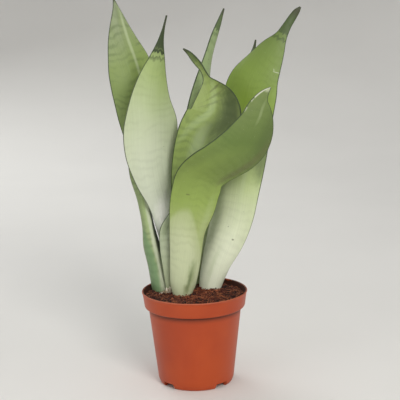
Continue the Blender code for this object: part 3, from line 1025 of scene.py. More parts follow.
    def near_soil(self) -> tuple[Array, Array]:
        """Points of the middle surface around the soil's level, and the half thickness there."""
        low, high = NEAR_SOIL
        level = (self.middle[:, :, 2] > low) & (self.middle[:, :, 2] < high)
        return self.middle[level], self.thickness[level] / 2


@dataclass
class Foliage:
    """All the plant's leaves."""

    leaves: tuple[Leaf, ...]

    def build(self) -> None:
        """Builds every leaf and reports it."""
        for leaf in self.leaves:
            piece = leaf.build()
            LOG.info("%s: %d faces", piece.name, len(piece.data.polygons))

    def footprint(self) -> tuple[Array, Array]:
        """Points of all the leaves near the soil, and the half thickness at each."""
        found = [leaf.near_soil() for leaf in self.leaves]
        return np.concatenate([f[0] for f in found]), np.concatenate([f[1] for f in found])


def snake_plant_leaves() -> tuple[Leaf, ...]:
    """The eight leaves, each with its own cross-sections and colours."""
    return (
        Leaf(
            "leaf_back_left",
            LeafFinish(
                "8D9C78", "8FA06C", "84985A", "84984F", "8A9572", band=0.3, lines=0.14, tip_bands=0.15,
                # Painted shade on the left half and painted light on the right half
                tip_length=9.0, sides=(0.88, 1.17), seed=1.3,
                marks=(
                    # Painted highlights: a pale stripe by the midrib high up, and a pale strip down the lit
                    # fold
                    Mark(3.0, 314.0, 2.0, 44.0, "BCC8A0", 0.6, 1.0, 1.2),
                    Mark(4.2, 92.0, 2.6, 70.0, "CDD4B8", 0.8, 0.0, 1.0),
                    Mark(4.5, 34.0, 4.0, 14.0, "D3D8C0", 0.6, 0.0, 1.4),
                    # Painted shade: a near-black hollow on the right half, between this leaf and the
                    # front-left one
                    Mark(12.5, 108.0, 6.8, 58.0, "141C0E", 0.95, 0.0, 0.5),
                    Mark(-5.5, 50.0, 6.0, 50.0, "6A8F60", 0.65, 0.0, 0.5),
                ),
            ),
            (
                (78, -36.0, 13, 17, 8, -48),
                (102, -38.5, 13, 25, 8, -58),
                (130, -43.5, 15, 27, 2, -62),
                (155, -48.6, 14.0, 29.5, 0, -67),
                (180, -52.8, 17.0, 22, -6, -70),
                (205, -57.2, 24.0, 21.5, -8, -66),
                (235, -59.3, 31, 29, 8, -50),
                (265, -56.0, 37, 38, 20, -38),
                (300, -56.0, 44, 56, 30, -30),
                (335, -57.5, 48, 67, 36, -26),
                (362, -64.0, 51, 63, 38, -25),
                (390, -73.5, 53, 42, 38, -25),
                (412, -79.5, 55, 20, 36, -22),
                (424, -82.5, 56, 8, 34, -12),
                (434, -85.0, 57, 1.5, 34, 0),
            ),
            crease=0.4,
            base_thickness=5.5,
            phase=3.54,
        ),
        Leaf(
            "leaf_front_left",
            LeafFinish(
                "E2E6DA", "CFD5C6", "C2CAAE", "96A868", "445730", (0.3, 0.55, 0.82), band=0.05,
                lines=0.02, tip_bands=0.95, tip_length=20.0, dark="24340F", seed=4.1,
                marks=(
                    # Painted shade on the right flank, beside the centre leaf
                    Mark(25.0, 172.0, 9.0, 40.0, "7C8A60", 0.45, 16.0, 1.2),
                    # Painted light: lifts the low middle, which the front leaves shade
                    Mark(1.0, 108.0, 10.0, 24.0, "FEFFF6", 0.95, 0.0, 1.2),
                ),
            ),
            (
                (78, -18.0, 34, 14, 0, -40),
                (102, -20.0, 35, 18, 4, -45),
                (142, -24.5, 29, 22, 10, -40),
                (175, -29.0, 22.5, 27, 15, -34),
                (203, -34.0, 15, 32, 20, -28),
                (233, -40.0, 9, 48, 22, -24),
                (265, -43.0, 5, 63, 22, -24),
                (295, -42.5, 3, 65, 22, -24),
                (323, -43.0, 1, 48, 20, -24),
                (350, -39.5, 0, 31, 18, -22),
                (370, -35.0, 0, 17, 16, -18),
                (386, -31.5, -1, 7, 14, -10),
                (400, -28.0, -2, 2.6, 10, 0),
                (415, -24.0, -4, 1.4, 10, 0),
            ),
            phase=1.9,
        ),
        Leaf(
            "leaf_centre",
            LeafFinish(
                "92A272", "8C9E68", "869952", "8A9C50", "5F6C38", band=0.26, lines=0.1, tip_bands=0.5,
                tip_length=11.0, seed=7.7,
                marks=(
                    # Painted shadow of the front leaf on the right part of the blade
                    Mark(17.0, 238.0, 13.0, 38.0, "2A3A12", 0.8, 24.0, 1.5),
                    # Painted highlights: pale bands on the lit left part of the blade
                    Mark(-9.0, 233.0, 4.0, 36.0, "A6B884", 0.5, 22.0, 1.4),
                    Mark(-4.0, 192.0, 7.0, 24.0, "A9B88E", 0.45, 0.0, 1.4),
                    Mark(8.0, 264.0, 11.0, 1.2, "4C4A2C", 0.5, -14.0, 1.2, 0.9),
                    Mark(4.0, 256.0, 14.0, 1.1, "55582F", 0.35, -12.0, 1.2, 0.9),
                    Mark(-3.0, 248.0, 15.0, 1.2, "56603A", 0.3, -8.0, 1.2, 0.9),
                ),
            ),
            (
                (78, -7.0, 22, 13, 0, -30),
                (102, -8.0, 21, 18, 0, -30),
                (150, -8.5, 17, 25, 0, -5),
                (198, -6.0, 12, 36, -4, 15),
                (244, 1.5, 6, 50, -10, 25),
                (283, 15.5, 3, 62, -13, 28),
                (307, 28.5, 4, 63, -14, 30),
                (327, 25.5, 8, 44, -16, 32),
                (338, 21.5, 11, 22, -18, 34),
                (344, 19.0, 13, 10, -20, 34),
                (350, 16.5, 15, 6.5, -24, 34),
                (356, 13.5, 17, 6.5, -28, 36),
                (362, 9.5, 18, 8.5, -30, 40),
                (368, 4.5, 18.5, 8, -24, 40),
                (373, -0.5, 18.5, 5, -14, 30),
                (378, -7.0, 18, 1.4, -10, 0),
            ),
            base_thickness=6.0,
            phase=3.1,
        ),
        Leaf(
            "leaf_front",
            LeafFinish(
                "AAB486", "A1AE70", "8CA14E", "5C7231", "68793F", (0.30, 0.47, 0.76), band=0.07,
                # Its pale foot is partly wax and partly painted light
                lines=0.02, dry=36.0, tip_bands=0.0, tip_length=6.0, bloom_and_light=0.8, bloom_and_light_end=0.425,
                bloom_and_light_arc=0.11, seed=2.6,
                marks=(
                    # Painted shade: below the folded upper margin, at the upper right, and along the right
                    # margin lower down
                    Mark(-25.0, 186.0, 7.0, 28.0, "4F5F2E", 0.24, 8.0, 1.4),
                    Mark(18.0, 246.0, 9.0, 20.0, "4E602C", 0.6, 0.0, 1.4),
                    Mark(23.0, 206.0, 5.0, 34.0, "62603A", 0.5, 2.0, 1.4),
                    # Painted highlight along the ridge below the tip
                    Mark(2.5, 268.0, 1.3, 12.0, "B3C090", 0.22, 10.0, 1.4),
                    Mark(-1.0, 295.0, 3.0, 3.5, "C3C6AA", 0.5, 0.0, 1.2, 0.6),
                    # Painted light on the right flank's facet, which faces the light
                    Mark(17.0, 112.0, 4.0, 26.0, "B0BF88", 0.4, 6.0, 1.6),
                    Mark(-9.0, 144.5, 2.4, 0.8, "55542F", 0.6, 0.0, 0.8),
                    # Painted shade in the groove at the foot, on the right side
                    Mark(7.5, 50.0, 3.6, 15.0, "6F8446", 0.5, 8.0, 1.8, 0.8),
                    Mark(6.0, 46.0, 1.6, 11.0, "4C5C2C", 0.55, 9.0, 1.6, 0.8),
                    Mark(3.5, 34.0, 3.0, 6.0, "6B7444", 0.5, 20.0, 1.6, 0.8),
                ),
            ),
            (
                (78, -14.0, 0, 15, 0, -45),
                (102, -14.0, -8, 25, 0, -50),
                (113, -13.0, -9, 32, 0, -48),
                (126, -11.5, -9, 35, 0, -44),
                (148, -9.0, -9, 38, 2, -38),
                (175, -6.3, -12, 42, 4, -28),
                (201, -0.5, -16, 52, 6, -22),
                (222, 4.5, -20, 56, 10, -18),
                (237, 10.0, -25, 60, 13, -16),
                (246, 21.0, -29, 68, 14, -15),
                (255, 34.5, -33, 66, 14, -14),
                (265, 47.5, -36.5, 62, 14, -14),
                (277, 58.5, -39.5, 57, 13, -14),
                (292, 66.5, -42.5, 48, 11, -14),
                (308, 71.5, -44.5, 34, 8, -12),
                (320, 73.5, -45, 23, 4, -10),
                (328, 76.0, -45, 13, 2, -8),
                (333, 79.5, -45, 8, 0, -6),
                (338, 85.0, -44, 1.6, 0, 0),
            ),
            base_thickness=7.5,
            wave=0.9,
            phase=4.4,
        ),
        Leaf(
            "leaf_young",
            LeafFinish(
                "B4BE96", "B0BA96", "ACB698", "A2AE8C", "7A8A5E", band=0.12, lines=0.05, tip_bands=0.0,
                tip_length=6.0, seed=5.2,
                # Painted shadow of the front-left leaf on the young leaf's upper part
                marks=(Mark(-3.0, 108.0, 4.0, 16.0, "6C7B54", 0.6, 8.0, 1.2),),
            ),
            (
                (78, -28.0, 8, 7, 0, -30),
                (101, -28.5, 9, 8, 0, -30),
                (127, -29.4, 9, 12, 0, -25),
                (154, -30.0, 7, 17, 0, -20),
                (175, -27.2, 5, 20.5, 4, -20),
                (192, -21.0, 3, 13, 4, -20),
                (205, -16.0, 1, 6, 0, -10),
                (213, -12.0, 0, 1.6, 0, 0),
            ),
            base_thickness=4.0,
            wave=0.4,
            phase=0.9,
        ),
        Leaf(
            "leaf_back_centre",
            LeafFinish(
                "9AA87A", "98A778", "98AB78", "9AAD7C", "76885A", band=0.2, lines=0.12, tip_bands=0.8,
                tip_length=13.0, seed=3.4,
            ),
            (
                (78, -2.0, 36, 13, 0, -30),
                (102, -0.5, 38, 22, 0, -30),
                (150, 1.0, 39.5, 27, 10, -25),
                (203, 0.0, 41, 27, 25, -20),
                (261, 3.0, 43, 33, 40, -16),
                (307, 9.0, 45, 33, 48, -14),
                (341, 15.5, 47, 27, 52, -12),
                (375, 24.0, 48, 15, 54, -10),
                (391, 29.0, 49, 11, 50, -8),
                (406, 34.5, 50, 6, 40, -5),
                (421, 40.0, 51, 1.4, 30, 0),
            ),
            crease=0.8,
            base_thickness=6.0,
            phase=5.0,
        ),
        Leaf(
            "leaf_right",
            LeafFinish(
                "FAFCEC", "DEE4CA", "B0C084", "819A3A", "596A3A", (0.22, 0.42, 0.66), band=0.05,
                lines=0.03, tip_bands=0.9, tip_length=18.0, bloom_and_light=0.35, bloom_and_light_end=0.42, dark="3E4F24",
                seed=8.8,
                marks=(
                    # Painted shadow of the front leaf along the left part
                    Mark(-18.0, 108.0, 6.5, 62.0, "47592E", 0.55, -2.0, 1.7),
                    Mark(19.0, 291.5, 3.6, 0.4, "DDE0CC", 0.45, -20.0, 0.8, 0.4),
                    Mark(15.4, 292.0, 0.4, 1.8, "DDE0CC", 0.35, -35.0, 0.8, 0.4),
                    # Painted shadow of the front leaf near the right margin
                    Mark(26.0, 184.0, 7.0, 26.0, "5F6E44", 0.75, 4.0, 1.2),
                    Mark(9.0, 87.5, 1.2, 0.9, "54532F", 0.7),
                    Mark(-3.0, 52.0, 2.2, 20.0, "A9B98A", 0.3, 4.0, 1.8, 0.6),
                    Mark(8.0, 150.0, 2.5, 30.0, "B9C79A", 0.35, 4.0, 1.8, 0.6),
                ),
            ),
            (
                (78, 17.0, 21, 17, 0, -45),
                (100, 18.0, 18, 28, 0, -50),
                (129, 24.5, 18, 36, -4, -42),
                (159, 35.5, 20, 46, -10, -32),
                (187, 44.0, 22.5, 51, -16, -26),
                (218, 49.0, 25, 56, -20, -22),
                (253, 54.5, 26, 60, -22, -20),
                (287, 58.5, 28, 65, -24, -20),
                (314, 63.0, 30, 66, -24, -20),
                (342, 71.0, 32, 60, -22, -20),
                (361, 83.5, 34, 44, -20, -20),
                (377, 94.5, 35, 29, -16, -20),
                (390, 104.0, 36, 13.5, -10, -20),
                (400, 110.0, 37, 9.5, -6, -20),
                (411, 117.5, 38, 8, 0, -20),
                (417, 122.0, 38, 6, 0, -20),
                (421, 125.5, 38, 1.6, 0, 0),
            ),
            base_thickness=7.5,
            wave=0.9,
            phase=2.4,
        ),
        Leaf(
            "leaf_back_right",
            LeafFinish(
                "93A272", "90A06E", "8FA366", "8AA060", "5F7044", lines=0.12, tip_bands=0.6,
                tip_length=14.0, seed=6.5,
            ),
            (
                (78, 14.0, 42, 10, 0, -20),
                (100, 16.0, 44, 13, -6, -20),
                (154, 22.0, 49, 21, -16, -20),
                (213, 32.0, 53, 30, -26, -18),
                (272, 44.0, 56, 36, -32, -16),
                (323, 57.0, 56, 29, -30, -14),
                (352, 68.0, 55, 14, -20, -10),
                (367, 71.5, 54, 6, -10, -5),
                (376, 74.0, 53, 3, 0, 0),
                (385, 75.8, 52, 1.4, 0, 0),
            ),
            base_thickness=5.0,
            phase=1.2,
        ),
    )


# ---------------------------------------------------------------- pot


@dataclass
class NurseryPot:
    """The moulded pot: a tapered wall, a banded rim, four feet and a ring of drain holes."""

    rim_radius: float = 60.0
    rim_top: float = 106.7
    band_radius: float = 57.4
    band_bottom: float = 90.6
    body_top: tuple[float, float] = (52.7, 86.6)
    body_low: tuple[float, float] = (43.4, 6.0)
    foot_radius: float = 40.4
    foot_inner: float = 37.6
    wall: float = 1.3
    floor_under: float = 5.6
    floor_top: float = 7.2
    hub: float = 14.0
    hub_floor: float = 1.6
    notch_top: float = 5.8
    notch_half: float = 8.6
    notch_lean: float = 1.8
    notch_turns: tuple[float, ...] = (-138.0, -48.0, 42.0, 132.0)
    drain_radius: float = 3.5
    drain_circle: float = 27.0
    drains: int = 8
    finish: PotFinish = PotFinish()

    def profile(self) -> tuple[Array, Array]:
        """Corners of the wall's section as (radius, height), and the rounding of each, mm."""
        top_r, top_z = self.body_top
        low_r, low_z = self.body_low
        inner = low_r - self.wall - 0.4
        rim, high = self.rim_radius, self.rim_top
        rows = (
            (self.hub, 0.0, 0.8),
            (self.hub + 2.4, self.floor_under, 0.9),
            (self.foot_inner - 1.0, self.floor_under, 0.9),
            (self.foot_inner, 0.0, 0.5),
            (self.foot_radius, 0.0, 0.9),
            (self.foot_radius + 1.1, 0.7, 0.9),
            (low_r - 0.5, 4.0, 1.4),
            (low_r, low_z, 1.2),
            (top_r, top_z, 0.8),
            (top_r + 0.8, top_z + 0.9, 0.7),
            (self.band_radius - 1.3, top_z + 1.9, 1.0),
            (self.band_radius - 0.3, top_z + 2.7, 0.9),
            (self.band_radius, self.band_bottom, 1.0),
            (rim - 0.7, high - 2.2, 0.6),
            (rim, high - 1.5, 0.5),
            (rim, high - 0.6, 0.5),
            (rim - 0.6, high, 0.5),
            (rim - 1.4, high, 0.5),
            (rim - 2.0, high - 0.6, 0.6),
            (self.band_radius - self.wall, self.band_bottom, 1.2),
            (top_r + 0.3, top_z + 2.2, 1.0),
            (top_r - self.wall, top_z - 0.4, 1.0),
            (inner, self.floor_top + 1.4, 0.9),
            (inner - 1.4, self.floor_top, 0.9),
            (self.hub + 1.0, self.floor_top, 0.9),
            (self.hub - 1.0, self.hub_floor, 0.8),
        )
        table = np.array(rows, float)
        return table[:, :2], table[:, 2]

    def rounded(self, points: int = 5) -> Array:
        """The section with each corner c replaced by the curve (1-t)^2 a + 2t(1-t) c + t^2 b.

        a and b lie on the sides before and after the corner, its rounding away but never past
        the middle of a side.

        Args:
            points: Points on each corner's curve.

        Returns:
            The section's points.
        """
        corners, radius = self.profile()
        before = np.concatenate([[[0.0, corners[0, 1]]], corners[:-1]])
        beyond = np.concatenate([corners[1:], [[0.0, corners[-1, 1]]]])
        back = np.linalg.norm(before - corners, axis=1)
        ahead = np.linalg.norm(beyond - corners, axis=1)
        a = corners + (before - corners) / back[:, None] * np.minimum(radius, back * 0.45)[:, None]
        b = corners + (beyond - corners) / ahead[:, None] * np.minimum(radius, ahead * 0.45)[:, None]
        t = np.linspace(0.0, 1.0, points)[None, :, None]
        curve = (1 - t) ** 2 * a[:, None] + 2 * t * (1 - t) * corners[:, None] + t * t * b[:, None]
        return curve.reshape(-1, 2)

    def angles(self) -> Array:
        """Angles around the pot: an even spread, and closer ones at the notches' sides."""
        even = np.linspace(-180.0, 180.0, 240, endpoint=False)
        side = math.degrees(self.notch_half / self.foot_radius)
        local = np.linspace(-3.4, 1.2, 10)
        edges = [turn + sign * (side + local) for turn in self.notch_turns for sign in (-1, 1)]
        every = np.concatenate([even, *edges])
        every = np.sort((every + 180.0) % 360.0 - 180.0)
        keep = np.concatenate([[True], np.diff(every) > 0.12])
        return np.radians(every[keep])

    def notch_height(self, angles: Array) -> Array:
        """Height that the foot is cut to at each angle: a smooth step up each slanted side."""
        turns = np.radians(np.array(self.notch_turns))
        away = np.abs((angles[:, None] - turns[None] + math.pi) % (2 * math.pi) - math.pi)
        reach = (self.notch_half - away.min(axis=1) * self.foot_radius) / self.notch_lean
        t = np.clip(reach, 0.0, 1.0)
        return self.notch_top * t * t * (3 - 2 * t)

    def build(self) -> bpy.types.Object:
        """Turns the section about the pot's axis, lifts the foot at the notches, drills the drains.

        Returns:
            The pot.
        """
        section = self.rounded()
        angles = self.angles()
        radius = section[:, :1]
        x = radius * np.sin(angles)[None]
        y = -radius * np.cos(angles)[None]
        z = np.repeat(section[:, 1:], len(angles), axis=1)
        foot = (radius > self.foot_inner - 2.2) & (z < self.floor_top - 1.2)
        z = np.where(foot, np.maximum(z, self.notch_height(angles)[None]), z)
        rings = np.stack([x, y, z], axis=-1)
        ends = np.array([[0.0, 0.0, section[0, 1]], [0.0, 0.0, section[-1, 1]]])
        points = np.concatenate([rings.reshape(-1, 3), ends])
        faces = closed_tube(len(section), len(angles))
        piece = new_piece("pot_shell", points, faces, self.finish.material("pot"))
        self._drill(piece)
        piece.data.set_sharp_from_angle(angle=math.radians(50.0))
        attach(piece, BODY)
        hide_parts("pot")
        return piece

    def _drill(self, piece: bpy.types.Object) -> None:
        """Cuts the drain holes, and leaves the result as the piece's own mesh.

        Args:
            piece: The pot.
        """
        sides = 32
        turn = 2 * math.pi * (np.arange(self.drains) + 0.5) / self.drains
        circle = np.linspace(0.0, 2 * math.pi, sides, endpoint=False)
        x = self.drain_circle * np.sin(turn)[:, None] + self.drain_radius * np.cos(circle)[None]
        y = -self.drain_circle * np.cos(turn)[:, None] + self.drain_radius * np.sin(circle)[None]
        low = np.full_like(x, self.floor_under - 1.5)
        high = np.full_like(x, self.floor_top + 1.5)
        rings = np.stack([np.stack([x, y, low], -1), np.stack([x, y, high], -1)], axis=1)
        centre = np.stack([rings[:, 0].mean(axis=1), rings[:, 1].mean(axis=1)], axis=1)
        points = np.concatenate([rings.reshape(self.drains, -1, 3), centre], axis=1)
        faces = copied_faces(closed_tube(2, sides), self.drains, points.shape[1])
        cutter = new_piece("drains", points.reshape(-1, 3), faces, piece.data.materials[0])
        modifier = piece.modifiers.new("drains", "BOOLEAN")
        modifier.operation = "DIFFERENCE"
        modifier.solver = "EXACT"
        modifier.object = cutter
        bpy.context.view_layer.update()
        cut = bpy.data.meshes.new_from_object(piece.evaluated_get(bpy.context.evaluated_depsgraph_get()))
        form = bmesh.new()
        form.from_mesh(cut)
        bmesh.ops.dissolve_degenerate(form, dist=1e-6, edges=form.edges)
        form.to_mesh(cut)
        form.free()
        piece.modifiers.clear()
        piece.data = cut
        bpy.data.objects.remove(cutter)


# ---------------------------------------------------------------- potting mix


class GrainSize(Enum):
    """Kinds of loose grain: count, smallest and largest size in mm, and facets (around, rings)."""

    COARSE = (1500, 1.0, 3.0, 7, 4)
    FINE = (8000, 0.4, 1.3, 5, 2)


@dataclass
class PottingMix:
    """Loose grains, fibres and sheath scraps on the mix, off the leaves and inside the rim."""

    feet: Array
    feet_half: Array
    seed: int = 41
    finish: SoilFinish = SoilFinish()
    fibre: FibreFinish = FibreFinish()
    sheath_finish: FibreFinish = FibreFinish(light="EFE8D8", dark="B39C7C")
    sheath: tuple[float, float] = (-31.5, 1.0)
    fibres: int = 700
    flakes: int = 24

    def build(self) -> None:
        """Dresses the CAD potting mix, and builds the grains, the fibres and the scraps."""
        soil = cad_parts["potting_mix"]
        soil.data.materials.clear()
        soil.data.materials.append(self.finish.material("potting_mix", False))
        LOG.info("potting_mix: dressed")
        material = self.finish.material("potting_mix_grains", True)
        for number, size in enumerate(GrainSize):
            piece = self._grains(size, np.random.default_rng(self.seed + number), material)
            LOG.info("%s: %d faces", piece.name, len(piece.data.polygons))
        for piece in (
            self._fibres(np.random.default_rng(self.seed + 7)),
            self._flakes(np.random.default_rng(self.seed + 8)),
        ):
            LOG.info("%s: %d faces", piece.name, len(piece.data.polygons))

    def _spread(self, random: np.random.Generator, count: int, clear: float) -> tuple[Array, Array, Array]:
        """Random places on the soil, evenly over its area, off the leaves.

        Args:
            random: Source of the draws.
            count: Places drawn before those too near a leaf are dropped.
            clear: Distance kept from a leaf's skin, mm.

        Returns:
            x and y of the places, and their distance from the nearest leaf's skin.
        """
        radius = SOIL_LIMIT * np.sqrt(random.random(count))
        turn = 2 * math.pi * random.random(count)
        x, y = radius * np.cos(turn), radius * np.sin(turn)
        below = self.feet[:, 2] < LEAF_FEET_TOP
        low, half = self.feet[below], self.feet_half[below]
        gap = np.hypot(x[:, None] - low[None, :, 0], y[:, None] - low[None, :, 1]) - half[None]
        gap = gap.min(axis=1)
        keep = gap > clear
        return x[keep], y[keep], gap[keep]

    def _grains(
        self, size: GrainSize, random: np.random.Generator, material: bpy.types.Material
    ) -> bpy.types.Object:
        """Lumpy grains: a faceted ball whose every corner is moved in or out, stretched and turned.

        They are heaped by 1.8 exp(-(gap / 4)^2) mm where the gap to a leaf is small.

        Args:
            size: The kind of grain.
            random: Source of the draws.
            material: Their material.

        Returns:
            One piece with all the grains.
        """
        count, small, large, around, rings = size.value
        x, y, gap = self._spread(random, count, 0.1)
        count = len(x)
        scale = small + (large - small) * random.random(count) ** 2.2
        heap = 1.8 * np.exp(-((gap / 4.0) ** 2)) * random.random(count)
        lift = soil_height(x, y) + scale * (0.05 + 0.3 * random.random(count)) + heap
        centre = np.stack([x, y, lift], axis=-1)
        polar = math.pi * (np.arange(rings) + 1) / (rings + 1)
        turn = 2 * math.pi * np.arange(around) / around
        ball = np.stack(
            [
                np.sin(polar)[:, None] * np.cos(turn)[None],
                np.sin(polar)[:, None] * np.sin(turn)[None],
                np.repeat(np.cos(polar)[:, None], around, axis=1),
            ],
            axis=-1,
        ).reshape(-1, 3)
        ball = np.concatenate([ball, [[0, 0, 1.0]], [[0, 0, -1.0]]])
        lumps = ball[None] * (0.72 + 0.5 * random.random((count, len(ball), 1)))
        lumps *= 0.5 + 0.6 * random.random((count, 1, 3))
        frames, _ = np.linalg.qr(random.standard_normal((count, 3, 3)))
        frames[:, :, 0] *= np.sign(np.linalg.det(frames))[:, None]
        lumps = np.einsum("nij,nkj->nki", frames, lumps) * scale[:, None, None] * 0.62
        points = centre[:, None] + lumps
        faces = copied_faces(closed_tube(rings, around, turned=True), count, len(ball))
        tone = np.repeat(0.10 + 0.9 * random.random((count, 1)) ** 1.6, len(ball), axis=1)
        name = "potting_mix_" + size.name.lower()
        tones = {"tone": tone.ravel()}
        piece = new_piece(name, points.reshape(-1, 3), faces, material, tones, smooth=False)
        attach(piece, BODY)
        return piece

    def _fibres(self, random: np.random.Generator) -> bpy.types.Object:
        """Short curved fibres lying on the mix: arcs of circles, lifted a little in the middle.

        Args:
            random: Source of the draws.

        Returns:
            One piece with all the fibres.
        """
        x, y, _ = self._spread(random, self.fibres, 1.0)
        count = len(x)
        rings = 9
        length = 4.0 + 11.0 * random.random(count) ** 1.5
        bend = random.normal(0.0, 0.9, count)
        heading = 2 * math.pi * random.random(count)
        s = np.linspace(-0.5, 0.5, rings)
        direction = heading[:, None] + bend[:, None] * s[None]
        step = length[:, None] / (rings - 1)
        start_x = x - length * np.cos(heading) / 2
        start_y = y - length * np.sin(heading) / 2
        px = start_x[:, None] + np.cumsum(np.cos(direction) * step, axis=1)
        py = start_y[:, None] + np.cumsum(np.sin(direction) * step, axis=1)
        far = np.maximum(np.hypot(px, py) / SOIL_LIMIT, 1.0)
        px, py = px / far, py / far
        arch = (0.5 + 1.3 * random.random(count))[:, None] * (1 - (2 * s[None]) ** 2)
        pz = soil_height(px, py) + 0.35 + arch
        thick = (0.08 + 0.14 * random.random(count))[:, None] * (1.15 - 0.9 * np.abs(2 * s[None]) ** 3)
        side = np.stack([-np.sin(direction), np.cos(direction), np.zeros_like(direction)], axis=-1)
        up = np.broadcast_to([0.0, 0.0, 1.0], side.shape)
        points, faces = strands(np.stack([px, py, pz], axis=-1), side, up, thick, thick)
        piece = new_piece("potting_mix_fibres", points, faces, self.fibre.material("fibres"))
        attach(piece, BODY)
        return piece

    def _flakes(self, random: np.random.Generator) -> bpy.types.Object:
        """Papery scraps of old leaf sheath, which stand beside the young leaf's foot.

        Args:
            random: Source of the draws.

        Returns:
            One piece with all the scraps.
        """
        count, rings = self.flakes, 7
        x = self.sheath[0] + random.normal(0.0, 4.4, count)
        y = self.sheath[1] + random.normal(0.0, 1.6, count)
        heading = 2 * math.pi * random.random(count)
        outward = np.stack([np.cos(heading), np.sin(heading), np.zeros(count)], axis=-1)
        side = np.stack([-np.sin(heading), np.cos(heading), np.zeros(count)], axis=-1)
        lean = np.radians(15.0 + 55.0 * random.random(count))[:, None] * np.linspace(0.4, 1.5, rings)
        step = (4.0 + 5.0 * random.random(count))[:, None, None] / (rings - 1)
        up = np.array([0.0, 0.0, 1.0])
        rise = np.cos(lean)[..., None] * up + np.sin(lean)[..., None] * outward[:, None]
        foot = np.stack([x, y, soil_height(x, y) - 0.5], axis=-1)
        path = foot[:, None] + np.cumsum(rise * step, axis=1)
        side = np.broadcast_to(side[:, None], path.shape)
        taper = 1.0 - 0.8 * np.linspace(0.0, 1.0, rings) ** 2
        wide = (0.8 + 1.6 * random.random(count))[:, None] * taper
        points, faces = strands(path, side, np.cross(rise, side), wide, np.full_like(wide, 0.12))
        piece = new_piece("potting_mix_flakes", points, faces, self.sheath_finish.material("flakes"))
        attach(piece, BODY)
        return piece


@dataclass
class Rhizome:
    """The underground stem, which the potting mix hides."""

    finish: FibreFinish = FibreFinish(light="C9B07C", dark="8A6A3C", scale=260.0)

    def build(self) -> None:
        """Dresses the CAD stem."""
        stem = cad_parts["rhizome"]
        stem.data.materials.clear()
        stem.data.materials.append(self.finish.material("rhizome"))
        LOG.info("rhizome: dressed")


# ---------------------------------------------------------------- studio


@dataclass
class SoftLight:
    """A square light that points at the plant."""

    name: str
    place: tuple[float, float, float]
    size: float
    power: float
    colour: Colour = (1.0, 1.0, 1.0)
    target: tuple[float, float, float] = (0.0, 0.0, 0.2)

    def build(self) -> None:
        """Adds the light."""
        lamp = bpy.data.lights.new(self.name, "AREA")
        lamp.shape = "SQUARE"
        lamp.size = self.size
        lamp.energy = self.power
        lamp.color = self.colour
        holder = bpy.data.objects.new(self.name, lamp)
        away = unit(np.array(self.place) - np.array(self.target))
        side = unit(np.cross([0.0, 0.0, 1.0], away))
        up = np.cross(away, side)
        matrix = np.identity(4)
        matrix[:3, :3] = np.stack([side, up, away], axis=1)
        matrix[:3, 3] = self.place
        holder.matrix_world = Matrix(matrix.tolist())
        bpy.context.scene.collection.objects.link(holder)


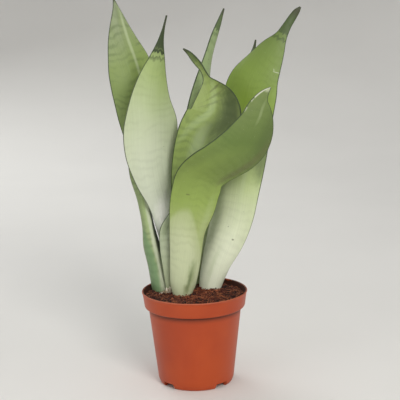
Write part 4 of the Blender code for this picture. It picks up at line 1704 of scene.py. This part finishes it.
@dataclass
class Studio:
    """Pale floor that sweeps up all round, soft lights and the camera.

    The camera's angles are degrees.  The floor's flat radius and sweep are millimetres.
    """

    flat: float = 1300.0
    sweep: float = 2500.0
    floor_sides: int = 96
    distance: float = 1.159
    height: float = 0.4257
    pan: float = 0.408
    tilt: float = 10.536
    roll: float = 1.136
    lens: float = 94.54
    ambient: float = 0.66
    lights: tuple[SoftLight, ...] = (
        SoftLight("key", (0.6, -1.5, 1.1), 0.7, 19.0, (1.0, 0.985, 0.96)),
        SoftLight("fill", (-1.4, -1.2, 0.5), 1.2, 7.0, (0.96, 0.98, 1.0)),
        SoftLight("window", (-0.9, 1.5, 1.3), 1.2, 13.0, (0.97, 0.99, 1.0)),
    )

    def build(self) -> None:
        """Builds the floor, the lights, the surrounding light and the camera."""
        self._floor()
        for light in self.lights:
            light.build()
        world = bpy.data.worlds.new("surround")
        world.use_nodes = True
        world.node_tree.nodes["Background"].inputs["Color"].default_value = (0.97, 0.985, 1.0, 1.0)
        world.node_tree.nodes["Background"].inputs["Strength"].default_value = self.ambient
        scene = bpy.context.scene
        scene.world = world
        scene.view_settings.view_transform = "Standard"
        scene.camera = self._camera()
        LOG.info("studio: ready")

    def _floor(self) -> None:
        """A round floor, flat in the middle, that rises as a quarter circle and then a wall."""
        flat, sweep, sides = self.flat, self.sweep, self.floor_sides
        turn = np.linspace(0.0, math.pi / 2, 24)[1:]
        radius = np.concatenate([[600.0, flat], flat + sweep * np.sin(turn), [flat + sweep]])
        rise = np.concatenate([[0.0, 0.0], sweep * (1 - np.cos(turn)), [4200.0]])
        angle = np.linspace(0.0, 2 * math.pi, sides, endpoint=False)
        x = radius[:, None] * np.cos(angle)[None]
        y = radius[:, None] * np.sin(angle)[None]
        rings = np.stack([x, y, np.repeat(rise[:, None], sides, axis=1)], axis=-1)
        points = np.concatenate([rings.reshape(-1, 3), [[0.0, 0.0, 0.0]]])
        middle = fan_faces(len(radius) * sides, 0, sides, True)
        faces = np.concatenate([tube_faces(len(radius), sides)[:, ::-1], middle])
        floor = new_piece("floor", points, faces, StudioFinish().material("floor"))

    def _camera(self) -> bpy.types.Object:
        """The camera, looking along f = (sin pan cos tilt, cos pan cos tilt, -sin tilt), then rolled."""
        pan, tilt, roll = np.radians([self.pan, self.tilt, self.roll])
        ahead = np.array([math.sin(pan) * math.cos(tilt), math.cos(pan) * math.cos(tilt), -math.sin(tilt)])
        side = np.array([math.cos(pan), -math.sin(pan), 0.0])
        up = np.cross(side, ahead)
        right = math.cos(roll) * side - math.sin(roll) * up
        upright = math.sin(roll) * side + math.cos(roll) * up
        matrix = np.identity(4)
        matrix[:3, :3] = np.stack([right, upright, -ahead], axis=1)
        matrix[:3, 3] = (0.0, -self.distance, self.height)
        data = bpy.data.cameras.new("camera")
        data.lens = self.lens
        data.sensor_width = 36.0
        data.clip_start = 0.01
        data.clip_end = 50.0
        camera = bpy.data.objects.new("camera", data)
        camera.matrix_world = Matrix(matrix.tolist())
        bpy.context.scene.collection.objects.link(camera)
        return camera


def main() -> None:
    """Builds the plant from the leaves down, then the studio."""
    logging.basicConfig(level=logging.INFO, format="%(name)s: %(message)s")
    foliage = Foliage(snake_plant_leaves())
    foliage.build()
    pot = NurseryPot().build()
    LOG.info("%s: %d faces", pot.name, len(pot.data.polygons))
    feet, half = foliage.footprint()
    PottingMix(feet, half).build()
    Rhizome().build()
    Studio().build()


if __name__ == "__main__":
    main()
